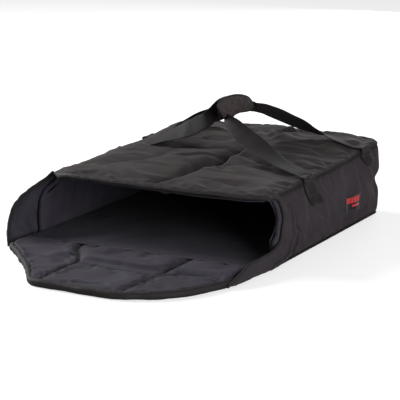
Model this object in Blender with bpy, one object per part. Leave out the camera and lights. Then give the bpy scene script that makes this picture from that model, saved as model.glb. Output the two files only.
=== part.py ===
"""Insulated pizza delivery bag, lying open: a quilted box of cloth, foam and lining.

Metres, +Z up. The mouth faces -Y, the handles' side seams are at -X and +X, and the
origin is on the floor under the middle of the body's base.
"""

import math

import bpy
import bmesh
from mathutils import Vector

mm = 0.001

# Body: outside sizes of the padded box
body_width = 448 * mm
body_depth = 445 * mm
front_height = 121 * mm
rear_height = 133 * mm
corner_radius = 26 * mm
front_crown = 2 * mm
rear_crown = 6 * mm
wall_bulge = 3 * mm
left_shoulder_drop = 16 * mm
left_rear_shoulder_drop = 19 * mm
left_shoulder_width = 84 * mm
left_lean = 9 * mm

# Slack folds of the top panel: half the height from trough to crest
top_fold_height = 4.4 * mm
rear_fold_height = 3.0 * mm

# Cloth, foam and the clearance between touching pieces
gap = 0.3 * mm
skin_thickness = 1.2 * mm
lining_thickness = 1.0 * mm
wall_foam = 7.0 * mm
floor_foam = 9.0 * mm
seam_gap = 0.6 * mm

# Mouth: how far the top's edge stands ahead of the body (plus) or behind it (minus)
top_overhang = 38 * mm
sill_reach = 40 * mm
hem_width = 10 * mm
hem_wrap = 1.4 * mm
mouth_notch = 22 * mm
left_mouth_setback = 38 * mm

# Flap: floor panel hinged ahead of the sill, and its folding tip
flap_length = 120 * mm
tip_length = 112 * mm
flap_side_inset = 7 * mm
flap_binding_width = 6 * mm
flap_binding_lift = 0.5 * mm
quilt_depth = 3.6 * mm
quilt_reach_share = 0.05
band_flat_share = 0.7
band_edge_shares = (0.3, 0.7)
hinge_gap = 0.6 * mm

# Gussets: the cloth that joins the body's sides to the flap
wing_reach = 86 * mm
wing_height = 100 * mm
wing_thickness = 2.4 * mm
wing_bow = 5 * mm
wing_lean_share = 0.45
right_gusset_reach = 112 * mm
right_gusset_height = 119 * mm
turnback_width = 68 * mm
gusset_thickness = 2.4 * mm
gusset_binding_width = 5 * mm
gusset_binding_thickness = 4.4 * mm
gusset_floor_gap = 0.8 * mm
binding_flat_share = 0.6
binding_edge_share = 0.5

# Seam welts
welt_radius = 1.7 * mm
welt_seat = 0.4 * mm
welt_sides = 6
left_welt_start_share = 1.3
base_welt_start_share = 1.1

# Carrying handles
webbing_width = 38 * mm
webbing_thickness = 2.0 * mm
anchor_drop = 47 * mm
anchor_lean = 34 * mm
anchor_slant_share = 0.5
right_front_strap_place = 124 * mm
left_front_strap_place = 245 * mm
rear_strap_place = 366 * mm
strap_rise = 1.1 * mm
grip_height = 88 * mm
grip_length = 130 * mm
grip_front_place = 214 * mm
grip_rise = 9 * mm
grip_fall = 8 * mm
right_grip_offset = 15 * mm
left_grip_offset = 8 * mm
left_strap_end_share = 0.15
left_strap_lift_share = 0.07
left_grip_start_share = 0.3

anchor_stand = welt_radius * 2 + welt_seat + gap

# Grip wrap: a padded panel sewn to the right handle, closed by a flap
wrap_length = 106 * mm
wrap_thickness = 4.0 * mm
wrap_inner_thickness = 3.0 * mm
wrap_overlap = 3.0 * mm
wrap_edge_radius = 14 * mm
wrap_roll_shares = (0.5, 0.8)
wrap_edge_share = 0.6
wrap_column_shares = (0.0, 0.15, 0.5, 0.85, 1.0)
closure_thickness = 1.2 * mm
closure_height = 14 * mm
closure_length = 90 * mm

# Woven label on the right side
label_length = 60 * mm
label_height = 28 * mm
label_thickness = 0.8 * mm
label_place = 303 * mm
label_base_height = 32 * mm

# Colours and finishes
skin_color = (0.030, 0.027, 0.032, 1.0)
lining_color = (0.034, 0.030, 0.036, 1.0)
foam_color = (0.55, 0.55, 0.53, 1.0)
webbing_color = (0.016, 0.015, 0.014, 1.0)
binding_color = (0.014, 0.013, 0.013, 1.0)
label_color = (0.012, 0.012, 0.013, 1.0)

crease_angle = math.radians(40)

half_width = body_width / 2
mouth_y = -body_depth / 2
rear_y = body_depth / 2
floor_top = skin_thickness + floor_foam + lining_thickness + gap * 2


def start_clean():
    for item in list(bpy.data.objects):
        bpy.data.objects.remove(item, do_unlink=True)


def make_material(name, color, roughness):
    material = bpy.data.materials.new(name)
    material.use_nodes = True
    shader = material.node_tree.nodes["Principled BSDF"]
    shader.inputs["Base Color"].default_value = color
    shader.inputs["Roughness"].default_value = roughness
    shader.inputs["Metallic"].default_value = 0.0
    material.diffuse_color = color
    return material


def share_between(start, end, share):
    return start + (end - start) * share


def smooth_share(value):
    held = min(1.0, max(0.0, value))
    return held * held * (3 - 2 * held)


def read_curve(points, where):
    """Read a list of (place, value) pairs, joined by straight runs."""
    if where <= points[0][0]:
        return points[0][1]
    for (left, low), (right, high) in zip(points, points[1:]):
        if where <= right:
            return share_between(low, high, (where - left) / (right - left))
    return points[-1][1]


def spline_points(points, steps):
    """Catmull-Rom curve through the points, with so many steps to each run."""
    ends = [points[0] * 2 - points[1]] + list(points) + [points[-1] * 2 - points[-2]]
    result = []
    for index in range(len(points) - 1):
        a, b, c, d = ends[index:index + 4]
        for step in range(steps):
            t = step / steps
            result.append(0.5 * (b * 2 + (c - a) * t + (a * 2 - b * 5 + c * 4 - d) * t * t
                                 + (b * 3 - a - c * 3 + d) * t * t * t))
    return result + [points[-1]]


def finish_object(name, mesh_builder, material, body, origin=(0, 0, 0)):
    """Turn a bmesh into a named object whose origin is its body's joint axis."""
    place = Vector(origin)
    bmesh.ops.translate(mesh_builder, verts=mesh_builder.verts, vec=-place)
    bmesh.ops.recalc_face_normals(mesh_builder, faces=mesh_builder.faces)
    mesh = bpy.data.meshes.new(name)
    mesh_builder.to_mesh(mesh)
    mesh_builder.free()
    mesh.shade_smooth()
    mesh.set_sharp_from_angle(angle=crease_angle)
    made = bpy.data.objects.new(name, mesh)
    bpy.context.collection.objects.link(made)
    mesh.materials.append(material)
    made.parent = body
    made.location = place - body.location
    return made


def make_slab(name, upper, lower, material, body):
    """Closed solid between two grids of points that have the same rows and columns."""
    builder = bmesh.new()
    top = [[builder.verts.new(point) for point in row] for row in upper]
    bottom = [[builder.verts.new(point) for point in row] for row in lower]
    rows = len(top)
    columns = len(top[0])
    for i in range(rows - 1):
        for j in range(columns - 1):
            builder.faces.new((top[i][j], top[i][j + 1], top[i + 1][j + 1], top[i + 1][j]))
            builder.faces.new((bottom[i][j], bottom[i + 1][j], bottom[i + 1][j + 1], bottom[i][j + 1]))
    rim = [(0, j) for j in range(columns)] + [(i, columns - 1) for i in range(1, rows)]
    rim += [(rows - 1, j) for j in range(columns - 2, -1, -1)] + [(i, 0) for i in range(rows - 2, 0, -1)]
    for (i, j), (k, l) in zip(rim, rim[1:] + rim[:1]):
        builder.faces.new((top[i][j], bottom[i][j], bottom[k][l], top[k][l]))
    return finish_object(name, builder, material, body, body.location)


def make_sweep(name, sections, material, body):
    """Loft closed sections, all with the same count of points, and cap both ends."""
    builder = bmesh.new()
    loops = [[builder.verts.new(point) for point in section] for section in sections]
    count = len(loops[0])
    for near, far in zip(loops, loops[1:]):
        for k in range(count):
            builder.faces.new((near[k], near[(k + 1) % count], far[(k + 1) % count], far[k]))
    builder.faces.new(loops[0])
    builder.faces.new(list(reversed(loops[-1])))
    return finish_object(name, builder, material, body, body.location)


def edge_height(y):
    behind = max(0.0, (y - mouth_y) / body_depth)
    return front_height + (rear_height - front_height) * behind * behind


def top_height(x, y):
    """Outer height of the top panel: a shallow crown, and a slack left shoulder."""
    behind = min(1.0, max(0.0, (y - mouth_y) / body_depth))
    across = min(1.0, abs(x) / half_width)
    crown = share_between(front_crown, rear_crown, behind) * (1 - across * across)
    slack = smooth_share((-x - half_width + left_shoulder_width) / left_shoulder_width)
    drop = share_between(left_shoulder_drop, left_rear_shoulder_drop, behind)
    return edge_height(y) + crown - drop * slack


# Folds of the slack top: shares of the half width and the fold's height, then of the depth and its strength
top_fold_shares = [(-0.2, 0.0), (0.0, -0.45), (0.12, -1.0), (0.2, 1.0), (0.3, 0.6), (0.4, 0.25), (0.52, 0.0)]
top_fold_run_shares = [(0.0, 0.0), (0.07, 1.0), (0.5, 1.0), (0.64, 0.0)]
rear_fold_shares = [(0.12, 0.0), (0.2, -0.4), (0.3, 1.0), (0.4, -0.3), (0.52, 0.7), (0.65, 0.0)]
rear_fold_run_shares = [(0.6, 0.0), (0.74, 1.0), (0.88, 0.8), (0.95, 0.0)]


def top_fold(x, y):
    """How far the slack top stands above or below its even surface."""
    across = x / half_width
    behind = (y - mouth_y) / body_depth
    front = read_curve(top_fold_shares, across) * read_curve(top_fold_run_shares, behind)
    rear = read_curve(rear_fold_shares, across) * read_curve(rear_fold_run_shares, behind)
    return top_fold_height * front + rear_fold_height * rear


def side_height(side, y):
    return top_height(side * half_width, y)


def wall_swell(share):
    return wall_bulge * math.sin(math.pi * share)


def left_give(side_share, share):
    """How far the left wall leans in: side_share is 1 on the left side and 0 elsewhere."""
    return left_lean * side_share * share * share


# Places across the top that all its layers share, as shares of the half width
column_shares = [-0.9, -0.8, -0.72, -0.65, -0.52, -0.4, -0.2, 0.0, 0.12, 0.2, 0.3, 0.4, 0.52, 0.65, 0.72,
                 0.8, 0.9]
edge_column = 6 * mm
corner_steps = 6
side_steps = 7
top_steps = 11


def column_places(left_width, right_width):
    """Places along X that every row of the top shares, drawn in where the row is narrow."""
    inner = half_width * column_shares[-1]
    fit = min(1.0, (right_width - edge_column) / inner)
    return [-left_width] + [share * half_width * fit for share in column_shares] + [right_width]


def body_outline(arc_steps, straight_steps):
    """Points (x, y, normal x, normal y, left share) from the left front to the right front."""
    straight = body_depth - corner_radius
    side = [(half_width, mouth_y + straight * k / straight_steps, 1.0, 0.0)
            for k in range(straight_steps + 1)]
    center_x = half_width - corner_radius
    center_y = rear_y - corner_radius
    arc = []
    for k in range(1, arc_steps + 1):
        angle = math.pi / 2 * k / arc_steps
        nx = math.cos(angle)
        ny = math.sin(angle)
        arc.append((center_x + corner_radius * nx, center_y + corner_radius * ny, nx, ny))
    back = [(x, rear_y, 0.0, 1.0) for x in reversed(column_places(center_x, center_x)) if 0 < x < center_x]
    right_half = side + arc + back
    left_half = [(-x, y, -nx, ny) for x, y, nx, ny in right_half]
    points = [(*point, max(0.0, -point[2])) for point in left_half]
    points.append((0.0, rear_y, 0.0, 1.0, 0.0))
    points += [(*point, 0.0) for point in reversed(right_half)]
    return points


def wall_point(spot, depth, share, low, under_top):
    """Point of the wall at a depth under its outside, by its share of the height."""
    x, y, nx, ny, left_share = spot
    out = wall_swell(share) - depth
    place_x = x + nx * out + left_give(left_share, share)
    place_y = y + ny * out
    high = top_height(place_x, place_y) - under_top
    return Vector((place_x, place_y, share_between(low, high, share)))


# Mouth edges: shares of the height, then of how far the wall's front edge stands back
right_mouth_shares = [(0.0, 0.0), (0.36, 0.0), (0.44, 0.62), (0.55, 0.86), (0.64, 1.0),
                      (0.72, 0.95), (0.82, 0.7), (0.92, 0.3), (1.0, 0.0)]
left_mouth_shares = [(0.0, 0.0), (0.625, 0.0), (0.75, 0.3), (0.875, 1.0), (1.0, 1.3)]


def mouth_setback(side, share):
    if side > 0:
        return read_curve(right_mouth_shares, share) * mouth_notch
    return read_curve(left_mouth_shares, share) * left_mouth_setback


def set_back(spot, share):
    """Move a spot on the mouth plane to the mouth's edge at that height."""
    x, y, nx, ny, left_share = spot
    if abs(y - mouth_y) < gap:
        y = mouth_y + mouth_setback(1 if x > 0 else -1, share)
    return (x, y, nx, ny, left_share)


def make_wall(name, spots, depth, thickness, floor_level, material, body):
    """One layer of a side or rear wall, between the floor layer and the top layer."""
    rows = 8
    outer = []
    inner = []
    for spot in spots:
        outer_row = []
        inner_row = []
        for k in range(rows + 1):
            share = k / rows
            moved = set_back(spot, share)
            limits = (floor_level + gap, depth + thickness + seam_gap)
            outer_row.append(wall_point(moved, depth, share, *limits))
            inner_row.append(wall_point(moved, depth + thickness, share, *limits))
        outer.append(outer_row)
        inner.append(inner_row)
    return make_slab(name, outer, inner, material, body)


def trim_run(spots, cut_start, cut_end):
    """Pull a run's ends back by half a seam gap, so that neighbours don't touch."""
    result = list(spots)
    for at, beside, cut in ((0, 1, cut_start), (-1, -2, cut_end)):
        if cut:
            here = Vector(result[at][:2])
            there = Vector(result[beside][:2])
            moved = here + (there - here).normalized() * (seam_gap / 2)
            result[at] = (moved.x, moved.y, *result[at][2:])
    return result


layers = {
    "outer": (0.0, skin_thickness),
    "pad": (skin_thickness + gap, wall_foam),
    "lining": (skin_thickness + wall_foam + gap * 2, lining_thickness),
}
floor_layers = {
    "outer": (0.0, skin_thickness),
    "pad": (skin_thickness + gap, floor_foam),
    "lining": (skin_thickness + floor_foam + gap * 2, lining_thickness),
}


def make_walls(materials, body):
    """Left, rear and right walls, sewn together at the middle of each rear corner."""
    spots = body_outline(corner_steps, side_steps)
    seam = side_steps + corner_steps // 2
    runs = {
        "left": trim_run(spots[:seam + 1], False, True),
        "rear": trim_run(spots[seam:len(spots) - seam], True, True),
        "right": trim_run(spots[len(spots) - seam - 1:], True, False),
    }
    for side, run in runs.items():
        for layer, (depth, thickness) in layers.items():
            floor_depth, floor_thickness = floor_layers[layer]
            level = floor_depth + floor_thickness
            make_wall(f"{side}_{layer}", run, depth, thickness, level, materials[layer], body)


def half_width_at(y, depth):
    """Half the body's width at a place, with the round rear corner, inset by a depth."""
    center_y = rear_y - corner_radius
    radius = corner_radius - depth
    if y <= center_y:
        return half_width - depth
    reach = min(radius, y - center_y)
    return half_width - corner_radius + math.sqrt(max(0.0, radius * radius - reach * reach))


def rows_along(start, depth, straight_rows, corner_rows):
    """Places along Y from a start to the rear, closer together round the corner."""
    center_y = rear_y - corner_radius
    rows = [share_between(start, center_y, k / straight_rows) for k in range(straight_rows)]
    radius = corner_radius - depth
    for k in range(corner_rows + 1):
        rows.append(center_y + radius * math.sin(math.pi / 2 * k / corner_rows))
    return rows


# The mouth edge of the top: shares of the half width, then of the overhang ahead of the body
top_edge_shares = [(-1.0, -1.0), (-0.9, -0.65), (-0.8, 0.1), (-0.65, 0.65), (-0.4, 0.85),
                   (0.0, 1.0), (0.4, 1.0), (0.8, 0.8), (1.0, 0.56)]


def top_edge_y(x):
    return mouth_y - read_curve(top_edge_shares, x / half_width) * top_overhang


def make_top(materials, body):
    """The top panel's three layers, over the walls and out past the mouth."""
    for layer, (depth, thickness) in layers.items():
        upper = []
        lower = []
        for y in rows_along(mouth_y, depth, top_steps, corner_steps):
            width = half_width_at(y, depth)
            start = y <= mouth_y
            upper_row = []
            lower_row = []
            for x in column_places(left_top_width(width, y, depth), width):
                place = top_edge_y(x) + hem_width if start else blend_place(x, y)
                height = top_height(x, place) + top_fold(x, place)
                upper_row.append(Vector((x, place, height - depth)))
                lower_row.append(Vector((x, place, height - depth - thickness)))
            upper.append(upper_row)
            lower.append(lower_row)
        make_slab(f"top_{layer}", upper, lower, materials[layer], body)


def left_top_width(width, y, depth):
    """The left side's top leans in, and the lean fades out round the rear corner."""
    reach = (y - rear_y + corner_radius) / (corner_radius - depth)
    fade = 1.0 if reach < 0 else math.sqrt(max(0.0, 1 - reach * reach))
    return width - left_give(fade, 1.0)


def blend_place(x, y):
    """Rows of the top run from its curved mouth edge to its straight rear edge."""
    start = top_edge_y(x)
    share = (y - mouth_y) / (rear_y - mouth_y)
    fade = (1 - share) ** 3
    return y + (start - mouth_y) * fade


def make_floor(materials, body):
    """The base's three layers, out past the mouth as the sill that the flap hangs on."""
    for layer, (depth, thickness) in floor_layers.items():
        upper = []
        lower = []
        side_depth = layers[layer][0]
        places = [mouth_y - sill_reach, mouth_y - gap / 2] + rows_along(mouth_y, side_depth, 3, 6)
        for y in places:
            width = half_width_at(y, side_depth)
            if y < mouth_y:
                width = half_width - flap_side_inset
            upper.append([Vector((x, y, depth + thickness)) for x in (-width, 0.0, width)])
            lower.append([Vector((x, y, depth)) for x in (-width, 0.0, width)])
        make_slab(f"base_{layer}", upper, lower, materials[layer], body)


def make_top_hem(material, body):
    """Binding folded round the top's mouth edge, over all its layers."""
    stack = skin_thickness + wall_foam + lining_thickness + gap * 2
    sections = []
    for x in column_places(half_width - left_give(1.0, 1.0), half_width):
        edge = top_edge_y(x)
        height = top_height(x, edge)
        inner = edge + hem_width - seam_gap
        outer = edge
        low = height - stack - hem_wrap
        high = height + hem_wrap
        bevel = hem_width / 4
        sections.append([
            Vector((x, inner, low)), Vector((x, outer + bevel, low)),
            Vector((x, outer, low + bevel)), Vector((x, outer, high - bevel)),
            Vector((x, outer + bevel, high)), Vector((x, inner, high)),
        ])
    make_sweep("top_front_hem", sections, material, body)


def ring_section(center, along, radius, sides):
    """Round section square to a direction."""
    forward = along.normalized()
    side = forward.cross(Vector((0, 0, 1))).normalized()
    up = side.cross(forward)
    ring = []
    for k in range(sides):
        angle = 2 * math.pi * k / sides
        ring.append(center + side * (radius * math.cos(angle)) + up * (radius * math.sin(angle)))
    return ring


def make_tube(name, path, radius, sides, material, body):
    sections = []
    for k, point in enumerate(path):
        along = path[min(k + 1, len(path) - 1)] - path[max(k - 1, 0)]
        sections.append(ring_section(point, along, radius, sides))
    return make_sweep(name, sections, material, body)


# How far behind the mouth each welt starts, at the left and at the right
welt_starts = {
    "top": (left_mouth_setback * left_welt_start_share, mouth_notch),
    "base": (0.0, turnback_width * base_welt_start_share),
}


def start_behind(path, distance):
    """Drop the start of a path that lies less than a distance behind the mouth."""
    start = mouth_y + distance
    kept = [k for k, point in enumerate(path) if point.y > start]
    first = path[kept[0]]
    before = path[max(0, kept[0] - 1)]
    cut = before.lerp(first, max(0.0, (start - before.y) / max(gap, first.y - before.y)))
    return [cut] + path[kept[0]:]


def make_welts(material, body):
    """Piped seams round the top and base edges, just outside the skins."""
    spots = body_outline(corner_steps, side_steps)
    out = welt_radius + welt_seat
    levels = {"top": 1.0, "base": 0.0}
    for edge, share in levels.items():
        path = []
        for spot in spots:
            give = left_give(spot[4], share)
            x = spot[0] + spot[2] * out + give
            y = spot[1] + spot[3] * out
            z = top_height(x, y) - skin_thickness if edge == "top" else welt_radius + skin_thickness
            path.append(Vector((x, y, z)))
        left_start, right_start = welt_starts[edge]
        path = start_behind(start_behind(path, left_start)[::-1], right_start)
        make_tube(f"{edge}_welt", path, welt_radius, welt_sides, material, body)


# Flap outline ahead of the sill: shares of the flap's and tip's full length, then of the half width
left_flap_shares = [(0.0, 0.97), (0.27, 0.96), (0.35, 0.88), (0.41, 0.80), (0.51, 0.71), (0.65, 0.58),
                    (0.73, 0.50), (0.88, 0.40), (0.96, 0.345), (1.0, 0.28)]
right_flap_shares = [(0.0, 0.97), (0.37, 0.965), (0.47, 0.925), (0.63, 0.857), (0.8, 0.754),
                     (0.91, 0.62), (0.97, 0.50), (1.0, 0.36)]
flap_reach = flap_length + tip_length


def flap_edges(ahead):
    share = ahead / flap_reach
    left = -read_curve(left_flap_shares, share) * half_width
    right = read_curve(right_flap_shares, share) * half_width
    return left + flap_binding_width, right - flap_binding_width


# The flap's two quilting seams: shares of the flap's and tip's length, then of the width from left to right
left_seam_shares = [(0.0, 0.27), (0.3, 0.32), (0.53, 0.30), (0.75, 0.22), (0.9, 0.16), (1.0, 0.14)]
right_seam_shares = [(0.0, 0.73), (0.53, 0.72), (0.75, 0.76), (0.9, 0.81), (1.0, 0.86)]


def quilt_columns(ahead):
    """Shares of the flap's width with the share of the quilting's depth, along one row."""
    left = read_curve(left_seam_shares, ahead / flap_reach)
    right = read_curve(right_seam_shares, ahead / flap_reach)
    columns = [(0.0, 0.0), (left / 2, 0.0)]
    for seam in (left, right):
        columns += [(seam - quilt_reach_share, 0.0), (seam, 1.0), (seam + quilt_reach_share, 0.0)]
        columns.append(((left + right) / 2 if seam == left else (1 + right) / 2, 0.0))
    return columns + [(1.0, 0.0)]


def make_flap_panel(prefix, distances, fold_row, materials, body):
    """Three layers of the flap or its tip, pressed in at the quilting seams and at the fold's row."""
    for layer, (depth, thickness) in floor_layers.items():
        upper = []
        lower = []
        for ahead in distances:
            left, right = flap_edges(ahead)
            y = mouth_y - sill_reach - ahead
            upper_row = []
            lower_row = []
            for share, pressed in quilt_columns(ahead):
                x = share_between(left, right, share)
                inside = zero_at_ends(share)
                sink = quilt_depth * inside * (1.0 if ahead == distances[fold_row] else pressed)
                upper_row.append(Vector((x, y, depth + thickness - (0 if layer == "outer" else sink))))
                lower_row.append(Vector((x, y, depth - (sink if layer == "lining" else 0))))
            upper.append(upper_row)
            lower.append(lower_row)
        make_slab(f"{prefix}_{layer}", upper, lower, materials[layer], body)


def zero_at_ends(share):
    return 1.0 if 0 < share < 1 else 0.0


def band_outline(path, width):
    """A flat band of a given width on the outer side of a path of (x, y) points."""
    outer = []
    for k, point in enumerate(path):
        along = path[min(k + 1, len(path) - 1)] - path[max(k - 1, 0)]
        normal = Vector((along.y, -along.x, 0)).normalized()
        outer.append(point + normal * width)
    return outer


def make_edge_band(name, path, material, body):
    """Binding along a run of the flap's edge, as thick as its layers."""
    low = flap_binding_lift
    high = floor_top - flap_binding_lift
    inner = band_outline(path, gap)
    outer = band_outline(path, flap_binding_width - flap_binding_lift)
    sections = []
    for near, far in zip(inner, outer):
        middle = near.lerp(far, band_flat_share)
        sections.append([
            Vector((near.x, near.y, low)), Vector((middle.x, middle.y, low)),
            Vector((far.x, far.y, share_between(low, high, band_edge_shares[0]))),
            Vector((far.x, far.y, share_between(low, high, band_edge_shares[1]))),
            Vector((middle.x, middle.y, high)), Vector((near.x, near.y, high)),
        ])
    make_sweep(name, sections, material, body)


def edge_run(side, distances):
    points = []
    for ahead in distances:
        points.append(Vector((flap_edges(ahead)[side], mouth_y - sill_reach - ahead, 0)))
    return points


def make_flap(materials, flap_body, tip_body):
    wing_clear = wing_reach - sill_reach
    fold = flap_length - hinge_gap / 2
    rows = [hinge_gap, wing_clear / 2] + [share_between(wing_clear, fold, k / 6) for k in range(7)]
    tip_rows = [share_between(fold + hinge_gap, flap_reach, k / 8) for k in range(9)]
    make_flap_panel("flap", rows, -1, materials, flap_body)
    make_flap_panel("flap_tip", tip_rows, 0, materials, tip_body)
    left = edge_run(0, rows[2:])
    right = list(reversed(edge_run(1, rows)))
    make_edge_band("flap_left_binding", left, materials["binding"], flap_body)
    make_edge_band("flap_right_binding", right, materials["binding"], flap_body)
    tip_left = edge_run(0, tip_rows)
    tip_right = list(reversed(edge_run(1, tip_rows)))
    make_edge_band("tip_binding", tip_left + tip_right, materials["binding"], tip_body)


# The left wing's free edge: shares of its reach ahead of the body, then of its height
wing_edge_shares = [(-0.44, 1.05), (-0.29, 1.0), (-0.07, 0.95), (0.37, 0.85), (0.56, 0.78),
                    (0.72, 0.67), (0.77, 0.54), (0.80, 0.38), (0.90, 0.23), (0.98, 0.11), (1.0, 0.0)]
wing_root_shares = [(-0.40, 0.99), (-0.24, 0.9), (-0.02, 0.72), (0.0, 0.5), (0.0, 0.25), (0.0, 0.0)]


def wing_point(shares, out):
    ahead, up = shares
    bow = wing_bow * math.sin(math.pi * min(1.0, max(0.0, up))) - left_give(wing_lean_share, up)
    z = gusset_floor_gap + up * wing_height
    return Vector((-half_width + out - bow, mouth_y - gap - ahead * wing_reach, z))


def make_left_gusset(cloth, binding, body):
    """A wing of cloth that stands at the mouth's left side."""
    steps = 10
    columns = 4
    edge = [read_pair(wing_edge_shares, k / steps) for k in range(steps + 1)]
    root = [read_pair(wing_root_shares, k / steps) for k in range(steps + 1)]
    outer = []
    inner = []
    for near, far in zip(root, edge):
        run = [mix_pair(near, far, j / columns) for j in range(columns + 1)]
        outer.append([wing_point(pair, 0.0) for pair in run])
        inner.append([wing_point(pair, wing_thickness) for pair in run])
    make_slab("left_gusset", outer, inner, cloth, body)
    path = [wing_point(pair, wing_thickness / 2) for pair in edge]
    make_gusset_binding("left_gusset_binding", path, -1, binding, body)


def read_pair(pairs, share):
    """Read a list of pairs by the share of its length in steps."""
    spot = share * (len(pairs) - 1)
    low = min(len(pairs) - 2, int(spot))
    return mix_pair(pairs[low], pairs[low + 1], spot - low)


def mix_pair(near, far, share):
    return (share_between(near[0], far[0], share), share_between(near[1], far[1], share))


def make_gusset_binding(name, path, turn, material, body):
    """Rounded binding along the free edge of a standing sheet, path from top to floor."""
    sections = []
    half = gusset_binding_thickness / 2
    for k, point in enumerate(path):
        along = (path[min(k + 1, len(path) - 1)] - path[max(k - 1, 0)]).normalized()
        out = Vector((0, along.z, -along.y)) * -turn
        side = Vector((1, 0, 0))
        near = point - out * gap * turn
        far = near - out * gusset_binding_width * turn
        middle = near.lerp(far, binding_flat_share)
        tip = half * binding_edge_share
        sections.append([near - side * half, middle - side * half, far - side * tip,
                         far + side * tip, middle + side * half, near + side * half])
    make_sweep(name, sections, material, body)


# The right gusset's mouth edge and its turned-back edge: shares of the reach ahead of the body
# (or of the turnback's width behind it), then of its height
right_front_shares = [(0.0, 1.0), (-0.12, 0.92), (-0.24, 0.82), (-0.31, 0.73), (-0.32, 0.65),
                      (-0.26, 0.56), (-0.2, 0.45), (-0.05, 0.37), (0.09, 0.31), (0.25, 0.27),
                      (0.47, 0.24), (0.77, 0.22), (0.95, 0.14), (1.0, 0.02)]
right_back_shares = [(0.2, 1.0), (0.32, 0.93), (0.6, 0.82), (0.68, 0.75), (0.82, 0.68),
                     (0.9, 0.6), (0.9, 0.51), (1.06, 0.42), (1.0, 0.35), (0.96, 0.22),
                     (0.96, 0.12), (0.78, 0.08), (0.42, 0.06), (0.1, 0.0)]


def wall_face(z):
    """Where a piece lies on the right wall, at a height."""
    return half_width + wall_swell(min(1.0, z / front_height)) + gap * 2


def make_right_gusset(cloth, binding, body):
    """The right gusset, folded back flat over the outside of the right wall."""
    front = []
    back = []
    for (ahead, up), (behind, height) in zip(right_front_shares, right_back_shares):
        reach = right_gusset_reach if ahead > 0 else turnback_width
        front.append((mouth_y - gap - ahead * reach, gusset_floor_gap + up * right_gusset_height))
        back.append((mouth_y + behind * turnback_width, gusset_floor_gap + height * right_gusset_height))
    columns = 3
    outer = []
    inner = []
    for (y0, z0), (y1, z1) in zip(front, back):
        run = [(share_between(y0, y1, j / columns), share_between(z0, z1, j / columns))
               for j in range(columns + 1)]
        outer.append([Vector((wall_face(z) + gusset_thickness, y, z)) for y, z in run])
        inner.append([Vector((wall_face(z), y, z)) for y, z in run])
    make_slab("right_gusset", outer, inner, cloth, body)
    path = [Vector((wall_face(z) + gusset_binding_thickness / 2, y, z)) for y, z in front]
    make_gusset_binding("right_gusset_binding", path, -1, binding, body)


# Handles: places and the direction of the webbing's width, from the front anchor to the rear one.
# A place is shares of the half width, of the run from strap to grip along Y, and of the grip's height.
front_strap_shares = [
    ((1.0, 0.0, 0.0), (0.0, 1.0, 0.0)),
    ((0.99, 0.0, 0.055), (0.0, 1.0, 0.0)),
    ((0.96, 0.01, 0.085), (0.0, 1.0, 0.0)),
    ((0.895, 0.09, 0.11), (0.35, 1.0, 0.0)),
    ((0.82, 0.17, 0.13), (0.4, 1.0, 0.0)),
    ((0.71, 0.29, 0.18), (0.4, 1.0, 0.05)),
    ((0.59, 0.42, 0.27), (0.4, 1.0, 0.15)),
    ((0.47, 0.55, 0.39), (0.4, 1.0, 0.35)),
    ((0.34, 0.69, 0.53), (0.4, 0.9, 0.6)),
    ((0.24, 0.80, 0.69), (0.35, 0.7, 0.9)),
    ((0.15, 0.90, 0.84), (0.2, 0.4, 1.0)),
]
rear_strap_shares = [
    ((0.155, 0.75, 0.78), (-0.1, -0.2, 1.0)),
    ((0.29, 0.62, 0.66), (0.1, -0.5, 1.0)),
    ((0.45, 0.46, 0.54), (0.2, -0.9, 0.9)),
    ((0.595, 0.34, 0.41), (0.1, -1.0, 0.5)),
    ((0.69, 0.24, 0.31), (0.0, -1.0, 0.2)),
    ((0.82, 0.14, 0.20), (0.0, -1.0, 0.05)),
    ((0.91, 0.06, 0.14), (0.0, -1.0, 0.0)),
    ((0.96, 0.02, 0.10), (0.0, -1.0, 0.0)),
    ((0.99, 0.0, 0.06), (0.0, -1.0, 0.0)),
    ((1.0, 0.0, 0.0), (0.0, -1.0, 0.0)),
]

# Places along the grip, as shares of its length
grip_place_shares = (0.0, 0.05, 0.15, 0.3, 0.4, 0.5, 0.6, 0.7, 0.85, 0.95, 1.0)

# By side: where the front strap leaves the body, how much higher it runs, where it nears the grip and
# where it lies along the grip
front_strap_places = {1: right_front_strap_place, -1: left_front_strap_place}
strap_lift_shares = {1: 0.0, -1: left_strap_lift_share}
strap_end_shares = {1: 0.0, -1: left_strap_end_share}
grip_start_shares = {1: 0.0, -1: left_grip_start_share}


def anchor_top(side, y):
    """Height at which a sewn anchor ends and its handle begins."""
    return side_height(side, y) - gap


def anchor_face(side, level):
    """Where an anchor's inner face stands, from the body's middle, at a share of the height."""
    give = left_give(1.0 if side < 0 else 0.0, level)
    return half_width + wall_swell(level) - give + anchor_stand


def handle_axis(side):
    """Two points of the line that a handle swings about: the outer edge of its anchors' tops."""
    out = anchor_face(side, 1.0) + webbing_thickness + gap
    ends = [mouth_y + front_strap_places[side], mouth_y + rear_strap_place]
    return [Vector((side * out, y, anchor_top(side, y) + strap_rise / 2)) for y in ends]


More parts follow.
